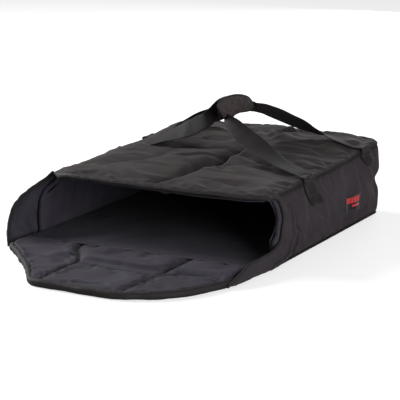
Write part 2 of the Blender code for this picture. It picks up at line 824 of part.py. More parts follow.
def handle_frames(side, grip_offset):
    """Centre line of a handle with the direction of the webbing's width at each point."""
    grip_front = mouth_y + grip_front_place
    grip_rear = grip_front + grip_length
    front_y = mouth_y + front_strap_places[side]
    strap_end = grip_front + grip_length * strap_end_shares[side]
    rear_strap_y = mouth_y + rear_strap_place
    front_z = anchor_top(side, front_y) + strap_rise
    rear_z = anchor_top(side, rear_strap_y) + strap_rise
    reach = anchor_face(side, 1.0) + webbing_thickness / 2
    top = front_height + grip_height
    frames = []
    for (across, along, up), width in front_strap_shares:
        x = share_between(grip_offset, reach, across)
        y = share_between(front_y, strap_end, along)
        up += strap_lift_shares[side] * across * math.sin(math.pi * across)
        frames.append((Vector((side * x, y, share_between(front_z, top, up))), mirrored(width, side)))
    for share in grip_place_shares:
        if share < grip_start_shares[side]:
            continue
        y = share_between(grip_front, grip_rear, share)
        frames.append((Vector((side * grip_offset, y, grip_center_height(y))), Vector((0.0, 0.0, 1.0))))
    for (across, along, up), width in rear_strap_shares:
        x = share_between(grip_offset, reach, across)
        y = share_between(rear_strap_y, grip_rear, along)
        frames.append((Vector((side * x, y, share_between(rear_z, top, up))), mirrored(width, side)))
    return frames


def mirrored(width, side):
    return Vector((width[0] * side, width[1], width[2]))


def make_webbing(name, frames, material, body):
    """Sweep a flat section along a handle's centre line."""
    steps = 3
    centers = spline_points([frame[0] for frame in frames], steps)
    widths = []
    for (here, width), (there, next_width) in zip(frames, frames[1:]):
        turned = -next_width if width.dot(next_width) < 0 else next_width
        for step in range(steps):
            widths.append(width.lerp(turned, step / steps))
    widths.append(frames[-1][1])
    sections = []
    previous = None
    for k, center in enumerate(centers):
        along = (centers[min(k + 1, len(centers) - 1)] - centers[max(k - 1, 0)]).normalized()
        wide = widths[k] - along * widths[k].dot(along)
        wide.normalize()
        if previous is not None and wide.dot(previous) < 0:
            wide = -wide
        previous = wide
        thick = along.cross(wide) * (webbing_thickness / 2)
        half = wide * (webbing_width / 2)
        sections.append([center + half + thick, center - half + thick,
                         center - half - thick, center + half - thick])
    make_sweep(name, sections, material, body)


def make_anchor(name, side, place, material, body):
    """The webbing's end, sewn flat on a side wall, leaning back as it goes down."""
    top_y = mouth_y + place
    rows = 5
    outer = []
    inner = []
    wall_height = side_height(side, top_y)
    for i in range(rows + 1):
        share = i / rows
        z = anchor_top(side, top_y) - anchor_drop * share
        y = top_y + anchor_lean * share
        face = anchor_face(side, min(1.0, z / (wall_height - gap)))
        slant = anchor_lean / anchor_drop * webbing_width / 2 * anchor_slant_share * share
        near = y - webbing_width / 2
        far = y + webbing_width / 2
        outer.append([Vector((side * (face + webbing_thickness), near, z - slant)),
                      Vector((side * (face + webbing_thickness), far, z + slant))])
        inner.append([Vector((side * face, near, z - slant)), Vector((side * face, far, z + slant))])
    make_slab(name, outer, inner, material, body)


def make_label(material, body):
    """Woven label, sewn on the right wall near the rear."""
    columns = 4
    outer = []
    inner = []
    start = mouth_y + label_place - label_length / 2
    for i in range(columns + 1):
        y = start + label_length * i / columns
        row = []
        for z in (label_base_height, label_base_height + label_height):
            face = half_width + wall_swell(z / side_height(1, y)) + gap
            row.append(Vector((face, y, z)))
        inner.append(row)
        outer.append([point + Vector((label_thickness, 0, 0)) for point in row])
    make_slab("woven_label", outer, inner, material, body)


def grip_center_height(y):
    """Height of the webbing's centre inside the grip."""
    share = (y - mouth_y - grip_front_place) / grip_length
    top = front_height + grip_height
    return share_between(top, top - grip_fall, share) - grip_rise + math.sin(math.pi * share) * grip_rise


def grip_edge_height(y, distance):
    """Height of a line that runs at a distance from the grip's centre line."""
    step = grip_length / 100
    rise = grip_center_height(y + step) - grip_center_height(y - step)
    return grip_center_height(y) + distance * math.hypot(step * 2, rise) / (step * 2)


def wrap_rows(count):
    start = mouth_y + grip_front_place + (grip_length - wrap_length) / 2
    return [start + wrap_length * k / count for k in range(count + 1)]


def make_wrap(materials, handle_body, flap_body):
    """The inner panel with its roll over the webbing, and the closing flap on the outside."""
    rows = wrap_rows(10)
    half = webbing_width / 2
    stand = webbing_thickness / 2 + gap
    roll_in, roll_up = wrap_roll_shares
    sections = []
    for y in rows:
        x = right_grip_offset - stand
        top = grip_edge_height(y, half + gap)
        low = grip_edge_height(y, -half - wrap_overlap)
        sections.append([
            Vector((x, y, low)),
            Vector((x - wrap_inner_thickness, y, low)),
            Vector((x - wrap_inner_thickness, y, top)),
            Vector((x - wrap_inner_thickness * roll_in, y, top + wrap_inner_thickness * roll_up)),
            Vector((right_grip_offset, y, top + wrap_inner_thickness)),
            Vector((right_grip_offset + stand, y, top + wrap_inner_thickness)),
            Vector((right_grip_offset + stand, y, top)),
            Vector((x, y, top)),
        ])
    make_sweep("grip_wrap", sections, materials["outer"], handle_body)
    make_grip_flap(rows, materials, flap_body)
    make_closure(materials, handle_body, flap_body)


def make_grip_flap(rows, materials, body):
    half = webbing_width / 2
    near = right_grip_offset + webbing_thickness / 2 + closure_thickness * 2 + gap * 4
    outer = []
    inner = []
    for y in rows:
        span = wrap_length / 2
        middle = (rows[0] + rows[-1]) / 2
        edge = max(0.0, abs(y - middle) - (span - wrap_edge_radius))
        lift = wrap_edge_radius - math.sqrt(max(0.0, wrap_edge_radius ** 2 - edge ** 2))
        low = grip_edge_height(y, -half - wrap_overlap) + lift
        high = grip_edge_height(y, half - gap)
        outer_row = []
        inner_row = []
        for share in wrap_column_shares:
            swell = wrap_thickness * share_between(wrap_edge_share, 1.0, math.sin(math.pi * share))
            height = share_between(low, high, share)
            outer_row.append(Vector((near + swell, y, height)))
            inner_row.append(Vector((near, y, height)))
        outer.append(outer_row)
        inner.append(inner_row)
    make_slab("grip_flap", outer, inner, materials["outer"], body)


def make_closure(materials, handle_body, flap_body):
    """Loop strip sewn to the webbing's outer face, and hook strip on the flap facing it."""
    middle = mouth_y + grip_front_place + grip_length / 2
    loop_face = right_grip_offset + webbing_thickness / 2 + gap
    hook_face = loop_face + closure_thickness + gap
    for name, face, body in (("grip_loop_strip", loop_face, handle_body),
                             ("grip_hook_strip", hook_face, flap_body)):
        outer = []
        inner = []
        for k in range(7):
            y = middle + closure_length * (k / 6 - 0.5)
            low = grip_edge_height(y, gap - webbing_width / 2)
            outer.append([Vector((face + closure_thickness, y, low)),
                          Vector((face + closure_thickness, y, low + closure_height))])
            inner.append([Vector((face, y, low)), Vector((face, y, low + closure_height))])
        make_slab(name, outer, inner, materials["binding"], body)


def make_body(name, place):
    """An empty on the joint's axis, which the body's pieces are parented to."""
    empty = bpy.data.objects.new(name, None)
    empty.location = place
    bpy.context.collection.objects.link(empty)
    return empty


def middle_of(points):
    return points[0].lerp(points[1], 0.5)


def make_materials():
    return {
        "outer": make_material("outer_nylon", skin_color, 0.62),
        "lining": make_material("lining_nylon", lining_color, 0.55),
        "pad": make_material("foam_pad", foam_color, 0.9),
        "webbing": make_material("handle_webbing", webbing_color, 0.7),
        "binding": make_material("edge_binding", binding_color, 0.65),
        "label": make_material("woven_label", label_color, 0.6),
    }


def build():
    start_clean()
    materials = make_materials()
    hinge_y = mouth_y - sill_reach - hinge_gap / 2
    shell = make_body("shell_body", (0, 0, 0))
    flap = make_body("flap_body", (0, hinge_y, floor_top))
    tip = make_body("flap_tip_body", (0, mouth_y - sill_reach - flap_length, floor_top))
    right_handle = make_body("right_handle_body", middle_of(handle_axis(1)))
    left_handle = make_body("left_handle_body", middle_of(handle_axis(-1)))
    grip_middle = mouth_y + grip_front_place + grip_length / 2
    flap_hinge_z = grip_center_height(grip_middle) + webbing_width / 2 + wrap_inner_thickness
    grip_flap = make_body("grip_flap_body", (right_grip_offset, 0, flap_hinge_z))
    make_floor(materials, shell)
    make_walls(materials, shell)
    make_top(materials, shell)
    make_top_hem(materials["binding"], shell)
    make_welts(materials["binding"], shell)
    make_left_gusset(materials["lining"], materials["binding"], shell)
    make_right_gusset(materials["outer"], materials["binding"], shell)
    make_flap(materials, flap, tip)
    for side, word in ((1, "right"), (-1, "left")):
        make_anchor(f"{word}_front_anchor", side, front_strap_places[side], materials["webbing"], shell)
        make_anchor(f"{word}_rear_anchor", side, rear_strap_place, materials["webbing"], shell)
    make_label(materials["label"], shell)
    make_webbing("right_webbing", handle_frames(1, right_grip_offset), materials["webbing"], right_handle)
    make_webbing("left_webbing", handle_frames(-1, left_grip_offset), materials["webbing"], left_handle)
    make_wrap(materials, right_handle, grip_flap)


build()
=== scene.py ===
import math
import bpy
import numpy as np
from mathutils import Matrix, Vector


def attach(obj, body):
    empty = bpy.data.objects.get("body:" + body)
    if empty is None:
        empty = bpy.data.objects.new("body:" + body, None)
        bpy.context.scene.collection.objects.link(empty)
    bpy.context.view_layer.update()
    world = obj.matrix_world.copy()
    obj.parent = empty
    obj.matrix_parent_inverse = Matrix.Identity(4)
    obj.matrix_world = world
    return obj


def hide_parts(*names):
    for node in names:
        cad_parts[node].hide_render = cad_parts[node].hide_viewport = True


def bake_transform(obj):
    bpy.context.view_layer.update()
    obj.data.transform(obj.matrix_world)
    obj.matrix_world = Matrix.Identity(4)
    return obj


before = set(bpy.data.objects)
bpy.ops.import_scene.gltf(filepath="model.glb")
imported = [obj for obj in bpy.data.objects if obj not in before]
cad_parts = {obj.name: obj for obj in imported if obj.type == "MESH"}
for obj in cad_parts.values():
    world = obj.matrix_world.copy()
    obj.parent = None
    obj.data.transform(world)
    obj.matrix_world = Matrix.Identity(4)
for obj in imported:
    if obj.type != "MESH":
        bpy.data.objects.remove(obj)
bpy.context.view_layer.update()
scene = bpy.context.scene
mm = 0.001

# The bag's own frame: x across, y behind the middle of the body, z up from the floor
bag = {
    "width": 448 * mm, "depth": 445 * mm, "frontHeight": 121 * mm, "rearHeight": 133 * mm,
    "cornerRadius": 26 * mm, "frontCrown": 2 * mm, "rearCrown": 6 * mm, "shoulderDrop": 16 * mm,
    "rearShoulderDrop": 19 * mm, "shoulderWidth": 84 * mm, "leftLean": 9 * mm, "overhang": 38 * mm,
    "floorTop": 11.8 * mm, "wallStack": 9.8 * mm,
}
half = bag["width"] / 2
mouthY = -bag["depth"] / 2
cornerX = half - bag["cornerRadius"]
cornerY = bag["depth"] / 2 - bag["cornerRadius"]
straightRun = bag["depth"] - bag["cornerRadius"]
cornerRun = bag["cornerRadius"] * math.pi / 2
wholeRun = straightRun + cornerRun + cornerX


def smoothShare(t):
    t = np.clip(t, 0.0, 1.0)
    return t * t * (3 - 2 * t)


def mix(a, b, t):
    return a + (b - a) * t


def bell(t, power=2):
    # 1 at nothing, falling softly to 0 on both sides
    return np.exp(-np.abs(t) ** power)


def fadeEnds(share, first, last=None):
    # 0 at both ends of a run and 1 between, over the parts given
    return smoothShare(share / first) * smoothShare((1 - share) / (last or first))


def softLimit(values, limit, soften):
    # keeps values under a limit, with a soft turn near it
    return -soften * np.logaddexp(-values / soften, -limit / soften)


def unit(vectors):
    return vectors / np.linalg.norm(vectors, axis=-1, keepdims=True)


def lengthAlong(path):
    return np.concatenate([[0], np.cumsum(np.linalg.norm(np.diff(path, axis=0), axis=1))])


def curveBetween(a, b, c, d, t):
    # a smooth curve from b to c, between its neighbours a and d
    cubic = 3 * b - a - 3 * c + d
    return 0.5 * (2 * b + (c - a) * t + (2 * a - 5 * b + 4 * c - d) * t * t + cubic * t ** 3)


def throughPoints(points, count):
    # a smooth run through the points, shared out evenly along its length
    given = np.asarray(points, float)
    ends = np.vstack([2 * given[0] - given[1], given, 2 * given[-1] - given[-2]])
    fine = [curveBetween(*four, t) for four in zip(ends, ends[1:], ends[2:], ends[3:])
            for t in np.linspace(0, 1, 12, endpoint=False)]
    fine = np.array(fine + [given[-1]])
    along = lengthAlong(fine)
    want = np.linspace(0, along[-1], count)
    return np.stack([np.interp(want, along, column) for column in fine.T], 1)


def ripples(x, y, seed, lengths, count, direction=0.0, spread=math.pi):
    # soft random waves: a sum of plain ones, about 1 high
    rng = np.random.default_rng(seed)
    total = np.zeros(np.broadcast(x, y).shape)
    for _ in range(count):
        wave = rng.uniform(*lengths)
        angle = direction + rng.uniform(-spread, spread)
        total += np.sin(2 * math.pi * (x * math.cos(angle) + y * math.sin(angle)) / wave
                        + rng.uniform(0, 2 * math.pi))
    return total / math.sqrt(count)


def pathField(x, y, path):
    # distance to a path (plus on its left), and the share of its length, for each point
    run = throughPoints(path, 90)
    flat = np.stack([x.ravel(), y.ravel()], 1)
    best = np.full(len(flat), 1e9)
    share = np.zeros(len(flat))
    signed = np.zeros(len(flat))
    for k, (point, way) in enumerate(zip(run, unit(np.gradient(run, axis=0)))):
        off = flat - point
        gone = np.hypot(off[:, 0], off[:, 1])
        near = gone < best
        best = np.where(near, gone, best)
        side = way[0] * off[:, 1] - way[1] * off[:, 0]
        signed = np.where(near, np.where(side >= 0, gone, -gone), signed)
        share = np.where(near, k / (len(run) - 1), share)
    return signed.reshape(x.shape), share.reshape(x.shape)


def foldHeight(x, y, folds):
    # folds: (path, height, width on its left, width on its right), all in millimetres
    total = np.zeros(x.shape)
    for path, height, left, right in folds:
        away, share = pathField(x, y, path)
        total += height * fadeEnds(share, 0.25) * bell(away / np.where(away >= 0, left, right), 1.25)
    return total


def edgeDistance(x, y, chain):
    # distance to the nearest of a chain of points
    away = np.full(x.shape, 1e9)
    for point in chain:
        away = np.minimum(away, np.hypot(x - point[0], y - point[1]))
    return away


def behindShare(y):
    return np.clip((y - mouthY) / bag["depth"], 0, 1)


def edgeHeight(y):
    return mix(bag["frontHeight"], bag["rearHeight"], behindShare(y) ** 2)


def topHeight(x, y):
    crown = mix(bag["frontCrown"], bag["rearCrown"], behindShare(y))
    crown = crown * (1 - np.clip(np.abs(x) / half, 0, 1) ** 2)
    slack = smoothShare((-x - half + bag["shoulderWidth"]) / bag["shoulderWidth"])
    drop = mix(bag["shoulderDrop"], bag["rearShoulderDrop"], behindShare(y))
    return edgeHeight(y) + crown - drop * slack


topEdge = throughPoints([(-1.0, -1.0), (-0.9, -0.65), (-0.8, 0.1), (-0.65, 0.65), (-0.4, 0.85),
                         (0.0, 1.0), (0.4, 1.0), (0.8, 0.8), (1.0, 0.56)], 200)


def topEdgeY(x):
    return mouthY - np.interp(x / half, topEdge[:, 0], topEdge[:, 1]) * bag["overhang"]

def planRun(s):
    # place and outward way on the right half of the plan, at a distance s from the mouth
    turn = np.clip((s - straightRun) / cornerRun, 0, 1) * math.pi / 2
    x = np.where(s < straightRun, half, cornerX + bag["cornerRadius"] * np.cos(turn))
    y = np.where(s < straightRun, mouthY + s, cornerY + bag["cornerRadius"] * np.sin(turn))
    x = x - np.clip(s - straightRun - cornerRun, 0, None)
    return x, y, np.cos(turn), np.sin(turn)

def planInset(x, y):
    # distance in from the body's plan outline, its left side leaning in at the top
    across = np.abs(x) + bag["leftLean"] * (x < 0) - cornerX
    along = y - cornerY
    corner = (across > 0) & (along > 0)
    return bag["cornerRadius"] - np.where(corner, np.hypot(across, along), np.maximum(across, along))


def roundDrop(distance, radius):
    # how far a rounded edge has fallen away at a distance in from it
    inside = np.clip(radius - distance, 0, radius)
    return radius - np.sqrt(np.maximum(radius ** 2 - inside ** 2, 0))


def gridOf(x, y, z):
    return np.stack(np.broadcast_arrays(x, y, z), 2)


def place(points):
    # (x, distance behind the mouth, z) in millimetres, to metres in the row frame
    return np.asarray(points, float) * mm + np.array([0, mouthY, 0])


def ruledGrid(first, last, look):
    # places between two runs of points, and the share of the way from the first to the last
    share = np.linspace(0, 1, look["columns"])[None, :]
    runs = [throughPoints(run, look["rows"]).T for run in (first, last)]
    y, z = (mix(a[:, None], b[:, None], share) for a, b in zip(*runs))
    return y, z, share


def newObject(name, data):
    made = bpy.data.objects.new(name, data)
    scene.collection.objects.link(made)
    return made


def quadsOf(index):
    return np.stack([index[:-1, :-1], index[:-1, 1:], index[1:, 1:], index[1:, :-1]], -1).reshape(-1, 4)


def gridNormals(grid):
    normal = np.cross(np.gradient(grid, axis=0), np.gradient(grid, axis=1))
    return normal / (np.linalg.norm(normal, axis=2, keepdims=True) + 1e-12)


def gridUv(grid):
    # metres along the rows and columns, measured on the cloth itself
    across = np.linalg.norm(np.diff(grid, axis=1), axis=2)
    along = np.linalg.norm(np.diff(grid, axis=0), axis=2)
    u = np.concatenate([np.zeros((grid.shape[0], 1)), np.cumsum(across, 1)], 1)
    v = np.concatenate([np.zeros((1, grid.shape[1])), np.cumsum(along, 0)], 0)
    u = u - u[:, grid.shape[1] // 2][:, None]
    v = v - v[grid.shape[0] // 2][None, :]
    return np.stack([u, v], 2).reshape(-1, 2)


def meshPiece(name, points, faces, materials, uv=None, faceMaterial=None):
    a, b, c, d = (points[faces[:, k]] for k in (0, 1, 2, -1))
    if (a * np.cross(b, c)).sum() + (a * np.cross(c, d)).sum() < 0:
        faces = faces[:, ::-1]
    mesh = bpy.data.meshes.new(name)
    mesh.from_pydata(points.tolist(), [], faces.tolist())
    if uv is not None:
        layer = mesh.uv_layers.new(name="clothUv")
        order = np.zeros(len(mesh.loops), np.int32)
        mesh.loops.foreach_get("vertex_index", order)
        layer.data.foreach_set("uv", uv[order].astype(np.float32).ravel())
    mesh.shade_smooth()
    made = newObject(name, mesh)
    for material in materials if isinstance(materials, list) else [materials]:
        mesh.materials.append(material)
    if faceMaterial is not None:
        mesh.polygons.foreach_set("material_index", np.asarray(faceMaterial, np.int32))
    return made


def slabPiece(name, outer, inner, materials, innerMaterial=0):
    # closed slab between two grids of the same size
    count = outer.shape[0] * outer.shape[1]
    index = np.arange(count).reshape(outer.shape[:2])
    front = quadsOf(index)
    back = front[:, ::-1] + count
    ring = np.concatenate([index[0, :], index[1:, -1], index[-1, -2::-1], index[-2:0:-1, 0]])
    after = np.roll(ring, -1)
    rim = np.stack([ring, ring + count, after + count, after], 1)
    points = np.concatenate([outer.reshape(-1, 3), inner.reshape(-1, 3)])
    slots = [0] * len(front) + [innerMaterial] * len(back) + [0] * len(rim)
    uv = np.tile(gridUv(outer), (2, 1))
    return meshPiece(name, points, np.concatenate([front, back, rim]), materials, uv, slots)


def markPoints(piece, mark, values):
    # keeps a number at each outer point of a piece, which its finish reads
    every = np.zeros(len(piece.data.vertices), np.float32)
    every[:values.size] = values.ravel()
    layer = piece.data.attributes.get(mark) or piece.data.attributes.new(mark, "FLOAT", "POINT")
    layer.data.foreach_set("value", every)


def clothPiece(name, grid, thickness, material, side=1):
    # a cloth of even thickness under a grid; side is 1 where the grid's own normals point out
    return slabPiece(name, grid, grid - gridNormals(grid) * thickness * side, material)


def sweepPiece(name, sections, material):
    # closed rings, one after another, capped at both ends
    count, sides = sections.shape[:2]
    index = np.arange(count * sides).reshape(count, sides)
    turned = np.roll(index, -1, axis=1)
    walls = np.stack([index[:-1], turned[:-1], turned[1:], index[1:]], -1).reshape(-1, 4)
    caps = []
    for ring, flip in ((index[0], True), (index[-1], False)):
        for k in range(1, sides // 2):
            quad = [ring[k - 1], ring[k], ring[sides - 1 - k], ring[sides - k]]
            caps.append(quad[::-1] if flip else quad)
    return meshPiece(name, sections.reshape(-1, 3), np.concatenate([walls, np.array(caps)]), material)


def acrossPath(path, up):
    # the way across a run of points, square to the way up
    return unit(np.cross(unit(np.gradient(path, axis=0)), np.broadcast_to(up, path.shape)))


def ovalRings(centre, wideWay, wide, tallWay, tall, sides):
    # an oval ring round each point of a run
    angle = np.linspace(0, 2 * math.pi, sides, endpoint=False)[None, :, None]
    sideways = (wide[:, None] * wideWay)[:, None]
    upright = (tall[:, None] * tallWay)[:, None]
    return centre[:, None] + np.cos(angle) * sideways + np.sin(angle) * upright


def resample(values, count):
    # evenly spaced samples along the first axis, on a smooth curve through the given ones
    last = len(values) - 1
    at = np.linspace(0, last, count)
    low = np.clip(np.floor(at).astype(int), 0, last - 1)
    t = (at - low).reshape((-1,) + (1,) * (values.ndim - 1))
    return curveBetween(*(values[np.clip(low + k, 0, last)] for k in (-1, 0, 1, 2)), t)


def resampleGrid(grid, rows, columns):
    return np.swapaxes(resample(np.swapaxes(resample(grid, rows), 0, 1), columns), 0, 1)


clothSettings = {
    "vertex_group_mass": "held", "quality": 5, "mass": 0.1, "air_damping": 3, "tension_stiffness": 15,
    "compression_stiffness": 10, "shear_stiffness": 5, "use_pressure": True,
}


def settleCloth(fine, fineHeld, settings, side=1):
    # lets an open cloth puff and crease between what holds it, and hands back its new shape
    rows, columns = (int(round(count * settings["coarse"])) for count in fine.shape[:2])
    grid = resampleGrid(fine, rows, columns)
    held = np.clip(resampleGrid(fineHeld, rows, columns), 0, 1)
    mesh = bpy.data.meshes.new("settling")
    faces = quadsOf(np.arange(rows * columns).reshape(rows, columns))[:, ::side]
    mesh.from_pydata(grid.reshape(-1, 3).tolist(), [], faces.tolist())
    cloth = newObject("settling", mesh)
    group = cloth.vertex_groups.new(name="held")
    weights = np.round(held.ravel() * 20) / 20
    for value in np.unique(weights[weights > 0]):
        group.add(np.nonzero(weights == value)[0].tolist(), float(value), "REPLACE")
    modifier = cloth.modifiers.new("cloth", "CLOTH")
    own = {"bending_stiffness": settings["bending"], "uniform_pressure_force": settings["pressure"],
           "shrink_min": -settings["spare"]}
    for key, value in {**clothSettings, **own}.items():
        setattr(modifier.settings, key, value)
    modifier.settings.effector_weights.gravity = 0.0
    modifier.collision_settings.use_collision = False
    modifier.point_cache.frame_start = 1
    modifier.point_cache.frame_end = settings["frames"]
    for number in range(1, settings["frames"] + 1):
        scene.frame_set(number)
    seen = cloth.evaluated_get(bpy.context.evaluated_depsgraph_get())
    moved = np.zeros(rows * columns * 3, np.float32)
    seen.data.vertices.foreach_get("co", moved)
    scene.frame_set(1)
    bpy.data.objects.remove(cloth)
    step = moved.reshape(rows, columns, 3).astype(float) - grid
    length = np.linalg.norm(step, axis=2, keepdims=True)
    step = step * np.minimum(1, settings["limit"] / np.maximum(length, 1e-9))
    spread = resampleGrid(step, *fine.shape[:2])
    return fine + spread * np.minimum(1, (1 - fineHeld)[:, :, None] * 1.5)


def dress(piece, slotName, moves, *nodes):
    # the piece's slot, which is not used; the body that it moves with, or a blend, which is not used and
    # leaves the piece in place; and the solids that it stands for, which it hides
    if isinstance(moves, str):
        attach(piece, moves)
    else:
        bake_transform(piece)
    if nodes:
        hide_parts(*nodes)


def addNode(tree, kind, slots=(), **values):
    # values set properties or named inputs, slots the first inputs; a socket among them is linked
    node = tree.nodes.new(kind)
    for key, value in (*values.items(), *enumerate(slots)):
        if isinstance(key, str) and hasattr(node, key):
            setattr(node, key, value)
        elif isinstance(value, bpy.types.NodeSocket):
            tree.links.new(value, node.inputs[key])
        else:
            node.inputs[key].default_value = value
    return node


def mathNode(tree, operation, *slots):
    return addNode(tree, "ShaderNodeMath", slots, operation=operation).outputs[0]


def mapRange(tree, value, low, high, top=1.0, kind="LINEAR"):
    # takes a value between 0 and top to one between low and high
    return addNode(tree, "ShaderNodeMapRange", interpolation_type=kind, Value=value,
                   **{"From Max": top, "To Min": low, "To Max": high}).outputs["Result"]


def objectNoise(tree, scale, detail, rough, stretch=None):
    # noise on the piece's own place, stretched where asked
    source = addNode(tree, "ShaderNodeTexCoord").outputs["Object"]
    if stretch:
        source = addNode(tree, "ShaderNodeMapping", Vector=source, Scale=stretch).outputs["Vector"]
    return addNode(tree, "ShaderNodeTexNoise", Vector=source, Scale=scale, Detail=detail,
                   Roughness=rough).outputs["Fac"]


def clothWeave(tree, pitch):
    # plain weave: threads over and under each other, as a height from 0 to 1
    spot = addNode(tree, "ShaderNodeSeparateXYZ", Vector=addNode(tree, "ShaderNodeTexCoord").outputs["UV"])
    waves = [mathNode(tree, "SINE", mathNode(tree, "MULTIPLY", spot.outputs[axis], math.pi / pitch))
             for axis in ("X", "Y")]
    return mathNode(tree, "MULTIPLY_ADD", mathNode(tree, "MULTIPLY", *waves), 0.5, 0.5)


def sharpCreases(tree):
    # thin raised lines, where a soft noise crosses its middle
    noise = objectNoise(tree, 11.0, 1.5, 0.4, (1.0, 0.6, 1.2))
    away = mathNode(tree, "ABSOLUTE", mathNode(tree, "SUBTRACT", noise, 0.5))
    return mapRange(tree, away, 1.0, 0.0, 0.16, "SMOOTHSTEP")


def blendColors(tree, factor, low, high, start=0.3, end=0.7):
    node = addNode(tree, "ShaderNodeValToRGB", Fac=factor)
    for stop, at, color in zip(node.color_ramp.elements, (start, end), (low, high)):
        stop.position = at
        stop.color = (*color, 1)
    return node.outputs["Color"]


def scaleColor(tree, color, factor, low, high):
    # darkens and lightens a colour between two levels
    return addNode(tree, "ShaderNodeVectorMath", [color], operation="SCALE",
                   Scale=mapRange(tree, factor, low, high)).outputs["Vector"]


def newMaterial(name, roughness, sheen, sheenRoughness=0.4):
    material = bpy.data.materials.new(name)
    material.use_nodes = True
    shader = material.node_tree.nodes["Principled BSDF"]
    for key, value in (("Roughness", roughness), ("Sheen Weight", sheen), ("Sheen Roughness", sheenRoughness),
                       ("Specular IOR Level", 0.15)):
        shader.inputs[key].default_value = value
    return material, material.node_tree, shader


def paintFinish(tree, shader, color, levels, bumps):
    # levels: (factor, darkest, lightest); bumps: (height, strength, distance in metres), the finest last
    for factor, low, high in levels:
        color = scaleColor(tree, color, factor, low, high)
    tree.links.new(color, shader.inputs["Base Color"])
    normal = None
    for height, strength, distance in bumps:
        bump = addNode(tree, "ShaderNodeBump", Height=height, Strength=strength, Distance=distance)
        if normal:
            tree.links.new(normal, bump.inputs["Normal"])
        normal = bump.outputs["Normal"]
    tree.links.new(normal, shader.inputs["Normal"])


def clothFinish(name, look):
    # nylon cloth; its colour is darkened by painted shade where the seamShade mark is set
    material, tree, shader = newMaterial(name, look["roughness"], look["sheen"])
    cloud = objectNoise(tree, 9.0, 4.0, 0.6)
    fleck = objectNoise(tree, 420.0, 2.0, 0.7)
    crinkle = objectNoise(tree, 70.0, 4.0, 0.6)
    creases = sharpCreases(tree)
    seam = addNode(tree, "ShaderNodeAttribute", attribute_name="seamShade").outputs["Fac"]
    weave = clothWeave(tree, look["pitch"])
    # the seamShade level is painted shade: where the mark is 1 the colour falls to 0.14 of itself
    paintFinish(tree, shader, blendColors(tree, cloud, look["low"], look["high"]),
                [(fleck, 0.75, 1.25), (weave, 0.92, 1.06), (creases, 1.0, 1.08), (seam, 1.0, 0.14)],
                [(creases, look["crinkle"], 0.0022), (crinkle, look["crinkle"], 0.0012),
                 (weave, 0.25, 0.00012)])
    return material


def webbingFinish(name, low, high):
    material, tree, shader = newMaterial(name, 0.72, 0.03, 0.6)
    fleck = objectNoise(tree, 420.0, 2.0, 0.8)
    weave = clothWeave(tree, 0.0011)
    paintFinish(tree, shader, blendColors(tree, objectNoise(tree, 14.0, 3.0, 0.6), low, high),
                [(fleck, 0.35, 1.65), (weave, 0.7, 1.2)], [(fleck, 0.4, 0.0003), (weave, 0.5, 0.0003)])
    return material


def threadFinish(name, color):
    material, tree, shader = newMaterial(name, 0.55, 0.3)
    strand = objectNoise(tree, 1500.0, 1.0, 0.5)
    low, high = (tuple(level * share for share in color) for level in (0.7, 1.3))
    paintFinish(tree, shader, blendColors(tree, strand, low, high), [], [(strand, 0.5, 0.0001)])
    return material


def labelFinish(name, ground, bars):
    # woven damask label: plain bars on a dark ground
    material, tree, shader = newMaterial(name, 0.55, 0.2)
    weave = clothWeave(tree, 0.0006)
    mark = addNode(tree, "ShaderNodeAttribute", attribute_name="barShare").outputs["Fac"]
    paintFinish(tree, shader, blendColors(tree, mark, ground, bars, 0.45, 0.55), [(weave, 0.8, 1.15)],
                [(mark, 0.6, 0.0002), (weave, 0.4, 0.00015)])
    return material


plainLook = {"roughness": 0.80, "sheen": 0.02, "pitch": 0.0007, "crinkle": 0.35}
clothLooks = {
    "outerNylon": {"low": (0.0210, 0.0168, 0.0174), "high": (0.0315, 0.0252, 0.0260)},
    "sideNylon": {"low": (0.0215, 0.0172, 0.0205), "high": (0.0320, 0.0258, 0.0305), "crinkle": 0.30},
    "gripNylon": {"low": (0.0320, 0.0245, 0.0252), "high": (0.0460, 0.0355, 0.0362), "roughness": 0.74},
    "liningNylon": {"low": (0.0250, 0.0225, 0.0305), "high": (0.0385, 0.0345, 0.0470), "pitch": 0.0006,
                    "crinkle": 0.30},
    "trimTape": {"low": (0.0125, 0.0108, 0.0112), "high": (0.0205, 0.0178, 0.0184), "roughness": 0.66,
                 "pitch": 0.0011, "crinkle": 0.5},
    # the welts' piping: a dark cord, its colour darkened further to paint the shade of the seam's groove
    "pipingWithPaintedShade": {"low": (0.0070, 0.0064, 0.0062), "high": (0.0115, 0.0105, 0.0100), "roughness": 0.70,
                   "sheen": 0.0, "pitch": 0.0011, "crinkle": 0.5},
}
outerCloth, sideCloth, gripCloth, liningCloth, trimCloth, pipingShadeCloth = (
    clothFinish(name, {**plainLook, **look}) for name, look in clothLooks.items())
webbing = webbingFinish("handleWebbing", (0.0075, 0.0061, 0.0060), (0.0124, 0.0104, 0.0101))
thread = threadFinish("seamThread", (0.034, 0.030, 0.031))
labelCloth = labelFinish("wovenLabel", (0.010, 0.009, 0.011), (0.50, 0.028, 0.035))
hookPile = threadFinish("hookAndLoop", (0.016, 0.015, 0.015))
print("finishes made")


def startTree(name, sizes):
    tree = bpy.data.node_groups.new(name, "GeometryNodeTree")
    tree.interface.new_socket("Geometry", in_out="INPUT", socket_type="NodeSocketGeometry")
    for label, value in sizes.items():
        socket = tree.interface.new_socket(label, in_out="INPUT", socket_type="NodeSocketFloat")
        socket.default_value = value
    tree.interface.new_socket("Finish", in_out="INPUT", socket_type="NodeSocketMaterial")
    tree.interface.new_socket("Geometry", in_out="OUTPUT", socket_type="NodeSocketGeometry")
    return tree, addNode(tree, "NodeGroupInput").outputs


def endTree(tree, shape, given):
    whole = addNode(tree, "GeometryNodeRealizeInstances", [shape]).outputs[0]
    smooth = addNode(tree, "GeometryNodeSetShadeSmooth", [whole]).outputs[0]
    painted = addNode(tree, "GeometryNodeSetMaterial", Geometry=smooth, Material=given["Finish"])
    addNode(tree, "NodeGroupOutput", [painted.outputs[0]])
    return tree


